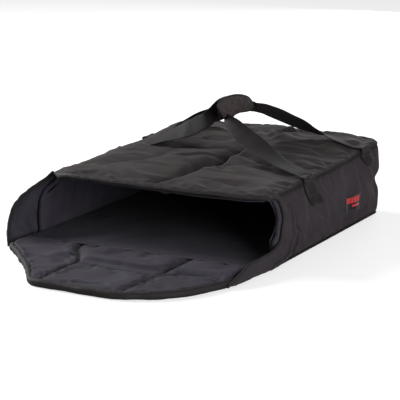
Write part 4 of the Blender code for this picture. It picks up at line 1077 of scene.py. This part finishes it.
wingY, wingZ, share = ruledGrid(wingRoot, wingEdge, wingLook)
bow = wingLook["bow"] * np.sin(math.pi * np.clip(wingZ / 100, 0, 1)) * smoothShare(share / 0.6)
wave = 2.2 * ripples(wingY, wingZ, 121, (34, 70), 7) + 0.7 * ripples(wingY, wingZ, 123, (14, 28), 7)
calm = smoothShare(share / 0.15) * smoothShare((100 - wingZ) / 30)
wingGrid = place(gridOf(leftWallX(wingZ) - wingLook["stand"] - bow + (wave - 0.4) * calm, wingY, wingZ))
wing = clothPiece("leftGussetCloth", wingGrid, wingLook["thickness"], liningCloth)
wingPath = wingGrid[:, -1] + xWay * wingLook["thickness"] / 2
wingBinding = pathPiece("leftGussetBinding", piping, [wingPath], wingTrim, trimCloth)
wingFold = ("shell", "flap", (-0.224, mouthY + 4 * mm, 0.060), (-0.224, mouthY - 74 * mm, 0.0))
dress(wing, "lining_nylon", wingFold, "left_gusset")
dress(wingBinding, "binding", wingFold, "left_gusset_binding")
sewRow("leftGussetStitches", [wingGrid[3:-3, -6] - xWay * wingLook["threadLift"]], "binding", wingFold)
print("left gusset made")

# Right gusset: folded back over the outside of the right wall
foldLook = {"rows": 90, "columns": 48, "thickness": 2.2 * mm, "hem": 2.4, "stand": 3.4, "flapStand": 4.6,
            "trimInward": 1.6 * mm, "threadLift": 0.4 * mm}
foldTrim = {"Radius": 0.0026, "Step": 0.0016, "Pucker": 0.0012, "Pucker Scale": 90.0}
foldFront = [(0, 122), (-1, 117), (8, 110), (16, 98), (21, 87), (22, 78), (18, 67), (14, 54), (4, 44),
             (-10, 37), (-28, 32), (-53, 29), (-87, 25), (-112, 17), (-130, 10), (-142, 4)]
foldBack = [(14, 121), (22, 111), (41, 98), (46, 90), (56, 81), (61, 72), (62, 61), (72, 50), (68, 42),
            (66, 26), (65, 15), (54, 10), (29, 7), (8, 3), (-10, 2)]


def rightWallX(y, z):
    # outermost place of the right wall's cloth near a spot, read from its own grid
    grid = wallGrids["right"]
    tall = edgeHeight(y)
    column = np.clip((z - wallLook["low"]) / (tall - wallLook["underTop"] - wallLook["low"]), 0, 1)
    column = np.rint(column * (grid.shape[1] - 1)).astype(int)
    found = np.zeros(np.shape(y))
    for k in np.unique(column):
        pick = column == k
        found[pick] = np.interp(y[pick], grid[:, k, 1], grid[:, k, 0])
    return found


foldY, foldZ, share = ruledGrid(foldFront, foldBack, foldLook)
foldX = rightWallX(np.clip(foldY * mm + mouthY, mouthY + 1 * mm, None), foldZ * mm) / mm + foldLook["stand"]
flapSideX = np.interp(-foldY, [-y for _, y in flapRight], [x for x, _ in flapRight]) + foldLook["flapStand"]
foldX = mix(foldX, flapSideX, smoothShare((-foldY - 10) / 80))
hemBump = foldLook["hem"] * (bell((1 - share) / 0.10) + 0.6 * bell(share / 0.12))
foldRipple = 0.8 * ripples(foldY, foldZ, 131, (18, 44), 7, 0.9, 0.8) + 0.9
foldX = foldX + hemBump + foldRipple * fadeEnds(share, 0.1) - 1.5 * (1 - smoothShare((122 - foldZ) / 10))
foldGrid = place(gridOf(foldX, foldY, foldZ))
turnback = clothPiece("rightGussetCloth", foldGrid, foldLook["thickness"], sideCloth)
# painted shade along the turned-back piece's rear edge, and a painted line of shade just in front of that
# edge
turned = share + 0 * foldZ
markPoints(turnback, "seamShade", bell((1 - turned) / 0.045) + 0.7 * bell((turned - 0.80) / 0.035))
# painted shadow on the wall under and just behind the turned piece's rear edge
wallY, wallZ = (wallGrids["right"][:, :, 1] - mouthY) / mm, wallGrids["right"][:, :, 2] / mm
underEdgeShadow = bell(edgeDistance(wallY, wallZ, throughPoints(foldBack, foldLook["rows"])[4:]) / 5.5)
rightWall, rightShade = wallShades["right"]
markPoints(rightWall, "seamShade", np.maximum(rightShade, 0.95 * underEdgeShadow))
foldPath = foldGrid[2:, 0] - xWay * foldLook["trimInward"]
foldBinding = pathPiece("rightGussetBinding", piping, [foldPath], foldTrim, trimCloth)
turnFold = ("shell", "flap", (0.224, mouthY - 20 * mm, 0.024), (0.224, mouthY - 84 * mm, 0.004))
dress(turnback, "outer_nylon", turnFold, "right_gusset")
dress(foldBinding, "binding", turnFold, "right_gusset_binding")
sewRow("rightGussetStitches", [foldGrid[3:-3, -6] + xWay * foldLook["threadLift"]], "binding", turnFold)
print("right gusset made")


# Piped seams
seamLook = {"underTop": 2.6 * mm, "overFloor": 2.4 * mm}
seamTrim = {"Radius": 0.0016, "Step": 0.0020, "Pucker": 0.0009, "Pucker Scale": 90.0}


def seamPath(level, startLeft, startRight, out):
    x, y, nx, ny = planRun(np.linspace(0, wholeRun, 240))
    right = np.stack([x, y, nx, ny], 1)
    left = right * np.array([-1, 1, -1, 1])
    right = right[right[:, 1] >= mouthY + startRight]
    left = left[left[:, 1] >= mouthY + startLeft]
    x, y, nx, ny = np.concatenate([right, left[-2::-1]]).T
    px = x + nx * out + bag["leftLean"] * np.clip(-nx, 0, 1) * level ** 2
    py = y + ny * out
    pz = topHeight(px, py) - seamLook["underTop"] if level else np.full(len(px), seamLook["overFloor"])
    return np.stack([px, py, pz], 1)


topSeam = seamPath(1.0, 49 * mm, 14 * mm, 0.0 * mm)
baseSeam = seamPath(0.0, 2 * mm, 60 * mm, 0.8 * mm)
for name, path, node in (("topWelt", topSeam, "top_welt"), ("baseWelt", baseSeam, "base_welt")):
    dress(pathPiece(name, piping, [path], seamTrim, pipingShadeCloth), "binding", "shell", node)
print("welts made")

# Carrying straps
strapLook = {
    "width": 37 * mm, "thickness": 2.0 * mm, "columns": 39, "step": 1.0 * mm, "gripHeight": 88 * mm,
    "gripLength": 130 * mm, "gripFront": 214 * mm, "gripRise": 9 * mm, "gripFall": 8 * mm,
    "rearPlace": 366 * mm, "anchorDrop": 47 * mm, "anchorLean": 34 * mm, "rearAnchor": 0.6,
    "onWall": 1.7 * mm, "levelEnd": 24, "rightOffset": 15 * mm, "leftOffset": 8 * mm,
    "stand": 2.7 * mm, "rise": 0.6 * mm, "anchorSwell": 2.2 * mm, "twill": 0.16 * mm, "twillPitch": 2.3,
    "sag": 0.8 * mm, "threadLift": 0.35 * mm, "foldBelow": 2 * mm, "foldAbove": 4 * mm,
}
sideLooks = {
    1: {"frontPlace": 124 * mm, "endShare": 0.0, "startShare": 0.2, "hug": 0.85},
    -1: {"frontPlace": 245 * mm, "endShare": 0.15, "startShare": 0.3, "hug": 0.4},
}
# places are shares: out from the grip, along from the anchor, up to the grip; then the band's way and width
frontStraps = {
    1: [((0.99, 0.0, 0.055), (0.0, 1.0, 0.0), 1.0), ((0.96, 0.01, 0.08), (0.0, 1.0, 0.0), 1.0),
        ((0.895, 0.09, 0.10), (0.35, 1.0, 0.0), 1.0), ((0.82, 0.17, 0.125), (0.4, 1.0, 0.0), 1.0),
        ((0.71, 0.29, 0.17), (0.4, 1.0, 0.05), 1.0), ((0.59, 0.42, 0.26), (0.4, 1.0, 0.15), 1.0),
        ((0.47, 0.55, 0.37), (0.4, 1.0, 0.35), 1.0), ((0.34, 0.68, 0.49), (0.4, 0.9, 0.6), 0.97),
        ((0.245, 0.76, 0.60), (0.4, 0.8, 0.7), 0.86), ((0.16, 0.87, 0.71), (0.35, 0.6, 0.75), 0.68),
        ((0.08, 0.98, 0.775), (0.2, 0.5, 0.85), 0.54), ((0.03, 1.12, 0.81), (0.1, 0.3, 1.0), 0.5)],
    -1: [((0.99, 0.0, 0.02), (0.0, 1.0, 0.0), 1.0), ((0.96, 0.01, 0.04), (0.0, 1.0, 0.0), 1.0),
         ((0.895, 0.09, 0.07), (0.35, 1.0, 0.0), 1.0), ((0.82, 0.17, 0.115), (0.4, 1.0, 0.0), 1.0),
         ((0.71, 0.29, 0.19), (0.4, 1.0, 0.05), 1.0), ((0.59, 0.42, 0.27), (0.4, 1.0, 0.15), 1.0),
         ((0.47, 0.55, 0.37), (0.4, 1.0, 0.35), 1.0), ((0.34, 0.69, 0.47), (0.4, 0.9, 0.6), 1.0),
         ((0.24, 0.80, 0.55), (0.35, 0.7, 0.9), 0.95), ((0.15, 0.90, 0.645), (0.2, 0.4, 1.0), 0.85),
         ((0.05, 1.0, 0.76), (0.1, 0.2, 1.0), 0.7)],
}
rearStrap = [
    ((0.04, 0.95, 0.77), (-0.1, -0.2, 1.0), 0.5), ((0.10, 0.85, 0.75), (0.0, -0.3, 1.0), 0.58),
    ((0.155, 0.75, 0.70), (0.05, -0.4, 1.0), 0.68), ((0.29, 0.62, 0.585), (0.1, -0.6, 1.0), 0.86),
    ((0.45, 0.46, 0.44), (0.2, -0.9, 0.9), 0.97), ((0.595, 0.34, 0.30), (0.1, -1.0, 0.5), 1.0),
    ((0.69, 0.24, 0.215), (0.0, -1.0, 0.2), 1.0), ((0.82, 0.14, 0.125), (0.0, -1.0, 0.05), 1.0),
    ((0.91, 0.06, 0.08), (0.0, -1.0, 0.0), 1.0), ((0.96, 0.02, 0.07), (0.0, -1.0, 0.0), 1.0),
    ((0.99, 0.0, 0.055), (0.0, -1.0, 0.0), 1.0),
]
gripWidths = [(0.2, 0.55), (0.3, 0.66), (0.4, 0.74), (0.5, 0.76), (0.6, 0.74), (0.7, 0.68), (0.85, 0.56),
              (1.0, 0.5)]
gripFrontY = mouthY + strapLook["gripFront"]
gripTop = bag["frontHeight"] + strapLook["gripHeight"]


def gripHeightAt(y):
    share = (y - gripFrontY) / strapLook["gripLength"]
    return gripTop - strapLook["gripFall"] * share - strapLook["gripRise"] * (1 - np.sin(math.pi * share))


def strapSpots(side, offset):
    # centre, way of the width and half the width, from the foot of the front anchor to the rear one's
    look, own = strapLook, sideLooks[side]
    frontY, rearPlaceY = mouthY + own["frontPlace"], mouthY + look["rearPlace"]
    lean = bag["leftLean"] if side < 0 else 0.0
    reach = half - lean + look["stand"] + look["thickness"] / 2

    def anchor(placeY, share, turn):
        top = topHeight(side * half, placeY)
        z = top - 1.0 * mm - look["anchorDrop"] * share
        level = z / top
        stand = look["anchorSwell"] * math.sin(math.pi * level) + look["stand"] * (1 - 0.35 * share)
        spot = (side * (half + stand - lean * level ** 2), placeY + look["anchorLean"] * share, z)
        return spot, (0, turn, 0.25 * turn), look["width"] * (0.5 - 0.09 * share)

    def band(strap, startY, endShare):
        endY = gripFrontY + look["gripLength"] * endShare
        startZ = topHeight(side * half, startY) - 0.3 * mm + look["rise"]
        for (out, along, up), way, width in strap:
            up = up * (own["hug"] if out > 0.9 else 1.0)
            spot = (side * mix(offset, reach, out), mix(startY, endY, along), mix(startZ, gripTop, up))
            yield spot, (way[0] * side, way[1], way[2]), look["width"] / 2 * width

    def grip():
        for share, width in gripWidths:
            if share >= own["startShare"]:
                y = gripFrontY + look["gripLength"] * share
                yield (side * offset, y, gripHeightAt(y)), (0, 0, 1.0), look["width"] / 2 * width

    shares = (0.06, 0.25, 0.5, 0.75, 1.0)
    front = [anchor(frontY, share, 1.0) for share in shares[::-1]]
    rear = [anchor(rearPlaceY, share * look["rearAnchor"], -1.0) for share in shares]
    return [*front, *band(frontStraps[side], frontY, own["endShare"]), *grip(),
            *band(rearStrap, rearPlaceY, 1.0), *rear]


def wallAt(side, y, z):
    # how far out the side wall stands at places on it
    wall = wallGrids["right" if side > 0 else "left"].reshape(-1, 3)[::2]
    away = (wall[None, :, 1] - y[:, None]) ** 2 + (wall[None, :, 2] - z[:, None]) ** 2
    weight = np.exp(-away / (2 * (3 * mm) ** 2)) + 1e-12
    return (weight * side * wall[None, :, 0]).sum(1) / weight.sum(1)


def strapPiece(name, side, offset):
    values = []
    for centre, way, width in strapSpots(side, offset):
        way = np.array(way, float)
        if values and way @ values[-1][3:6] < 0:
            way = -way
        values.append([*centre, *way, width])
    length = lengthAlong(throughPoints([spot[:3] for spot in values], 400))[-1]
    count = int(length / strapLook["step"])
    run = throughPoints(values, count)
    centre = run[:, :3]
    ahead = unit(np.gradient(centre, axis=0))
    wide = unit(run[:, 3:6] - ahead * (run[:, 3:6] * ahead).sum(1, keepdims=True))
    thick = np.cross(ahead, wide)
    u = np.linspace(-1, 1, strapLook["columns"])
    across = u[None, :] * run[:, 6][:, None]
    along = np.linspace(0, length, count)[:, None] / mm
    slants = np.array([along + across / mm, along - across / mm])
    twill = np.prod(np.sin(math.pi * slants / strapLook["twillPitch"]), axis=0)
    edge = (1 - np.abs(u[None, :]) ** 10) ** 0.5
    body = strapLook["thickness"] / 2 * (0.35 + 0.65 * edge) + strapLook["twill"] * twill * edge
    sag = strapLook["sag"] * ripples(along, across / mm * 0.5, 141 + side, (50, 120), 5)
    centreGrid = centre[:, None, :] + wide[:, None, :] * across[:, :, None]
    # the sewn ends are cut level, not square to the band
    ends = strapLook["levelEnd"]
    for end, inward in ((0, 1), (count - 1, -1)):
        for k in range(ends):
            row = end + inward * k
            run = ahead[row] / ahead[row, 2]
            give = (centre[row, 2] - centreGrid[row, :, 2]) * (1 - smoothShare(k / ends))
            centreGrid[row] += run * give[:, None]
    edgeZ = topHeight(side * half, centreGrid[:, :, 1])
    for row in np.flatnonzero((centreGrid[:, :, 2] < edgeZ).any(1)):
        y, z = centreGrid[row, :, 1], centreGrid[row, :, 2]
        hold = smoothShare((edgeZ[row] - z - 1 * mm) / (8 * mm))
        laid = side * (wallAt(side, y, z) + strapLook["onWall"])
        centreGrid[row, :, 0] = mix(centreGrid[row, :, 0], laid, hold)
    sag = sag * smoothShare(along / 60) * smoothShare((length / mm - along) / 60)
    middle = centreGrid + sag[:, :, None] * thick[:, None, :]
    push = thick[:, None, :] * body[:, :, None]
    return slabPiece(name, middle + push, middle - push, webbing), middle, thick


strapGrids = {}
swingAxes = {"right": (0.2304, 0.0225, 0.12577), "left": (-0.2214, 0.0830, 0.10701)}
for name, side in wallSides.items():
    strap, grid, thick = strapPiece(f"{name}Strap", side, strapLook[f"{name}Offset"])
    strapGrids[name] = (grid, thick)
    axis = np.array(swingAxes[name])
    way = np.array([-side * 1.0, -0.0297, 1.0])
    strapFold = ("shell", f"{name}_handle", tuple(axis - way * strapLook["foldBelow"]),
                 tuple(axis + way * strapLook["foldAbove"]))
    dress(strap, "webbing", strapFold, f"{name}_webbing", f"{name}_front_anchor", f"{name}_rear_anchor")


def boxRows(grid, thick, side, first, last):
    # a sewn box with a cross in it, between two rows of the band
    columns = (4, strapLook["columns"] - 5)
    lift = strapLook["thickness"] / 2 + strapLook["threadLift"]
    out = np.sign(thick[(first + last) // 2, 0] * side) * lift
    laid = grid + thick[:, None, :] * out
    rows = np.arange(first, last + 1)
    slant = np.linspace(*columns, len(rows)).astype(int)
    ring = [laid[rows, columns[0]], laid[last, columns[0]:columns[1] + 1], laid[rows[::-1], columns[1]],
            laid[first, columns[0]:columns[1] + 1][::-1]]
    return [np.concatenate(ring), laid[rows, slant], laid[rows, slant[::-1]]]


anchorRows = []
for name, side in wallSides.items():
    grid, thick = strapGrids[name]
    for first, last in ((3, 33), (len(grid) - 34, len(grid) - 4)):
        anchorRows += boxRows(grid, thick, side, first, last)
sewRow("anchorStitches", anchorRows, "webbing", "shell")
print("straps made")

# Grip: a padded panel round the right strap, closed by a flap on the outside
# the panel's top and low lines: (behind the mouth, height) in millimetres
gripTopLine = [(193, 216), (197, 221), (208, 225.5), (237, 227.6), (273, 224.8), (306, 216.8), (323, 207.5),
               (331, 199)]
gripLowLine = [(196, 212), (205, 203), (216, 193.5), (228, 187), (243, 185.5), (257, 191), (278, 192.5),
               (306, 190), (322, 189.6), (329, 192.5)]
gripLook = {"front": 213, "rear": 330, "steps": 74, "inner": 4.2 * mm, "outer": 6.2 * mm, "near": 4.8 * mm,
            "edge": 1.2 * mm, "reach": 8.0, "threadLift": 0.35 * mm}
gripTrim = {"Radius": 0.0015, "Step": 0.0016, "Pucker": 0.0005, "Pucker Scale": 150.0}
gripSettle = {"pressure": 0.6, "spare": 0.03, "limit": 2.5 * mm, "bending": 0.2, "coarse": 0.4, "frames": 16}
gripFolds = [
    ([(262, 226), (258, 212), (252, 194)], -1.0, 4, 8),
    ([(205, 222), (232, 208), (262, 206)], 0.9, 5, 5),
    ([(282, 222), (296, 206), (318, 198)], -0.9, 5, 6),
    ([(222, 192), (236, 202), (246, 214)], -0.8, 4, 5),
]
topLine, lowLine = throughPoints(gripTopLine, 80), throughPoints(gripLowLine, 80)
sections = []
for k, along in enumerate(np.linspace(gripLook["front"], gripLook["rear"], gripLook["steps"])):
    share = k / (gripLook["steps"] - 1)
    ends = [math.sin(math.pi * min(1, 6 * part) / 2) for part in (share, 1 - share)]
    body = min(1.0, 0.3 + 0.7 * ends[0] * ends[1])
    top = (np.interp(along, topLine[:, 0], topLine[:, 1]) - 4.6 * body) * mm
    low = (np.interp(along, lowLine[:, 0], lowLine[:, 1]) + 1.5 + 9 * smoothShare((along - 300) / 28)) * mm
    wave = float(ripples(along, 0, 151, (11, 26), 6)) * 0.4 * mm
    inside = strapLook["rightOffset"] - 1.5 * mm
    deep = gripLook["inner"] * body + wave
    shape = [(inside, low), (inside - deep * 0.7, low + 1 * mm), (inside - deep, low + 6 * mm),
             (inside - deep * 1.08, (low + top) / 2), (inside - deep, top - 5 * mm),
             (inside - deep * 0.8, top + deep * 0.25), (inside - deep * 0.1, top + deep * 0.8),
             (inside + 2.0 * mm, top + deep * 0.95), (inside + 4.2 * mm, top + deep * 0.85),
             (inside + 5.6 * mm, top + deep * 0.35), (inside + 5.2 * mm, top - 0.4 * mm),
             (inside + 2.6 * mm, top + 0.1 * mm), (inside + 0.1 * mm, top - 0.1 * mm)]
    loop = throughPoints([*shape, shape[0]], 41)[:-1]
    sections.append(np.stack([loop[:, 0], np.full(len(loop), along * mm + mouthY), loop[:, 1]], 1))
gripInner = sweepPiece("gripPad", np.array(sections), gripCloth)
dress(gripInner, "outer_nylon", "right_handle", "grip_wrap")

share = np.linspace(0, 1, 60)[None, :, None]
panel = mix(lowLine[:, None, :], topLine[:, None, :], share)
panelY, panelZ = panel[:, :, 0], panel[:, :, 1]
rimLine = np.concatenate([panel[:, -1], panel[-1, -2::-1], panel[-2::-1, 0], panel[0, 1:]])
edgeAway = edgeDistance(panelY, panelZ, throughPoints(rimLine[::5], 260))
swell = gripLook["outer"] * (1 - np.exp(-(edgeAway / gripLook["reach"]) ** 1.15)) + gripLook["edge"]
loose = foldHeight(panelY, panelZ, gripFolds) + 0.45 * ripples(panelY, panelZ, 161, (14, 34), 8)
swell = swell + loose * mm * smoothShare(edgeAway / 7)
near = strapLook["rightOffset"] + gripLook["near"]
flapOuterGrid = gridOf(near + swell, panelY * mm + mouthY, panelZ * mm)
flapInnerGrid = gridOf(near, panelY * mm + mouthY, panelZ * mm)
flapOuterGrid = settleCloth(flapOuterGrid, 1 - smoothShare((edgeAway - 1) / 4), gripSettle)
gripFlap = slabPiece("gripFlapPad", flapOuterGrid, flapInnerGrid, gripCloth)
gripFold = ("right_handle", "grip_flap", (0.0235, 0, 0.2240), (0.0235, 0, 0.2090))
dress(gripFlap, "outer_nylon", gripFold, "grip_flap")

# loop strip on the wrap and hook strip on its flap, above the panel's low line
stripLook = {"front": 234, "rear": 316, "above": 1.6, "tall": 13, "thickness": 1.2, "pile": 0.08,
             "loopX": 16.6, "hookX": 18.2}
stripY = np.linspace(stripLook["front"], stripLook["rear"], 42)[:, None]
stripUp = stripLook["above"] + np.linspace(0, stripLook["tall"], 7)[None, :]
stripZ = np.interp(stripY, lowLine[:, 0], lowLine[:, 1]) + stripUp
pile = stripLook["pile"] * ripples(stripY, stripZ, 171, (2.4, 5), 6)
for name, node, body, at in (("gripLoopStrip", "grip_loop_strip", "right_handle", stripLook["loopX"]),
                             ("gripHookStrip", "grip_hook_strip", "grip_flap", stripLook["hookX"])):
    outerSide = place(gridOf(at + stripLook["thickness"] + pile, stripY, stripZ))
    strip = slabPiece(name, outerSide, place(gridOf(at, stripY, stripZ)), hookPile)
    dress(strip, "hook_and_loop", body, node)


def panelRim(grid, inset):
    kept = slice(inset, -inset or None)
    return np.concatenate([grid[kept, inset], grid[-1 - inset, kept], grid[kept, -1 - inset][::-1],
                           grid[inset, kept][::-1]])


gripPiping = pathPiece("gripPiping", piping, [panelRim(flapOuterGrid, 0)], gripTrim, trimCloth)
dress(gripPiping, "binding", gripFold)
gripSewn = panelRim(flapOuterGrid, 5) + xWay * gripLook["threadLift"]
sewRow("gripStitches", [gripSewn], "outer_nylon", gripFold, Pitch=0.0030, Length=0.0023)
print("grip made")

# Woven label, on the right wall near the rear
labelLook = {"place": 303, "length": 60, "base": 32, "height": 28, "thickness": 0.9 * mm, "columns": 121,
             "rows": 57, "raised": 0.25, "threadLift": 0.3 * mm}
labelBars = [(0.10 + 0.135 * k, 0.205 + 0.135 * k, 0.50, 0.88) for k in range(6)] + [(0.46, 0.88, 0.24, 0.38)]
labelY = np.linspace(-0.5, 0.5, labelLook["columns"])[:, None] * labelLook["length"] + labelLook["place"]
labelZ = np.linspace(0, 1, labelLook["rows"])[None, :] * labelLook["height"] + labelLook["base"]
labelY, labelZ = labelY + 0 * labelZ, labelZ + 0 * labelY
labelX = rightWallX(labelY * mm + mouthY, labelZ * mm) / mm + 0.9
for _ in range(6):
    labelX[1:-1] = (labelX[:-2] + labelX[2:] + labelX[1:-1]) / 3
    labelX[:, 1:-1] = (labelX[:, :-2] + labelX[:, 2:] + labelX[:, 1:-1]) / 3
across = (labelY - labelLook["place"]) / labelLook["length"] + 0.5
up = (labelZ - labelLook["base"]) / labelLook["height"]
bars = np.zeros(labelY.shape)
for start, end, low, high in labelBars:
    bars = np.maximum(bars, ((across > start) & (across < end) & (up > low) & (up < high)).astype(float))
labelGrid = place(gridOf(labelX + labelLook["raised"] * bars, labelY, labelZ))
label = slabPiece("wovenLabel", labelGrid, labelGrid - xWay * labelLook["thickness"], labelCloth)
markPoints(label, "barShare", bars)
dress(label, "label", "shell", "woven_label")
labelRow = np.concatenate([labelGrid[3:-3, 3], labelGrid[-4, 3:-3], labelGrid[3:-3, -4][::-1],
                           labelGrid[3, 3:-3][::-1]])
sewRow("labelStitches", [labelRow + xWay * labelLook["threadLift"]], "label", "shell", Pitch=0.0024,
       Length=0.0018, Radius=0.0003)
print("label made")


# Floor, light and camera
def litFloor(name, color, lift):
    # pale to the camera, and it keeps the object's shadow
    material = bpy.data.materials.new(name)
    material.use_nodes = True
    tree = material.node_tree
    shader = tree.nodes["Principled BSDF"]
    shader.inputs["Base Color"].default_value = (*color, 1)
    shader.inputs["Roughness"].default_value = 0.9
    rays = addNode(tree, "ShaderNodeLightPath").outputs["Is Camera Ray"]
    glow = addNode(tree, "ShaderNodeEmission", Color=(1, 1, 1, 1),
                   Strength=mathNode(tree, "MULTIPLY", rays, lift))
    total = addNode(tree, "ShaderNodeAddShader", [shader.outputs[0], glow.outputs[0]])
    tree.links.new(total.outputs[0], tree.nodes["Material Output"].inputs["Surface"])
    return material


floorMesh = bpy.data.meshes.new("floor")
floorLook = {"reach": 6, "under": 0.5 * mm, "color": (0.52, 0.52, 0.52), "lift": 0.60}
corners = [(floorLook["reach"] * x, floorLook["reach"] * y, -floorLook["under"])
           for x, y in ((-1, -1), (1, -1), (1, 1), (-1, 1))]
floorMesh.from_pydata(corners, [], [(0, 1, 2, 3)])
floor = newObject("floor", floorMesh)
floorMesh.materials.append(litFloor("paleFloor", floorLook["color"], floorLook["lift"]))

world = bpy.data.worlds.new("studio")
world.use_nodes = True
scene.world = world
background = world.node_tree.nodes["Background"]
background.inputs["Color"].default_value = (1, 1, 1, 1)
rays = addNode(world.node_tree, "ShaderNodeLightPath").outputs["Is Camera Ray"]
world.node_tree.links.new(mapRange(world.node_tree, rays, 0.225, 1.0), background.inputs["Strength"])


def softLight(name, power, size, spot):
    data = bpy.data.lights.new(name, "AREA")
    data.energy = power
    data.size = size
    lamp = newObject(name, data)
    lamp.location = spot
    lamp.visible_camera = False
    lamp.rotation_euler = (Vector((0, 0, 0.08)) - Vector(spot)).to_track_quat("-Z", "Y").to_euler()


# power in watts, size and place in metres
lampLooks = {"keyLight": (144, 1.5, (-2.7, -0.1, 1.55)), "fillLight": (66, 1.4, (2.3, -1.4, 0.7)),
             "backLight": (30, 1.6, (-0.2, 2.9, 0.8))}
for name, look in lampLooks.items():
    softLight(name, *look)

camera = newObject("camera", bpy.data.cameras.new("camera"))
cameraLook = {"sensor": 36, "lens": 153, "spot": (1.3539, -2.5947, 0.7294), "down": 13.2167, "round": 28.05}
camera.data.sensor_width = cameraLook["sensor"]
camera.data.lens = cameraLook["lens"]
camera.location = cameraLook["spot"]
camera.rotation_euler = (math.radians(90 - cameraLook["down"]), 0, math.radians(cameraLook["round"]))
scene.camera = camera
scene.view_settings.view_transform = "Standard"
print("studio set")
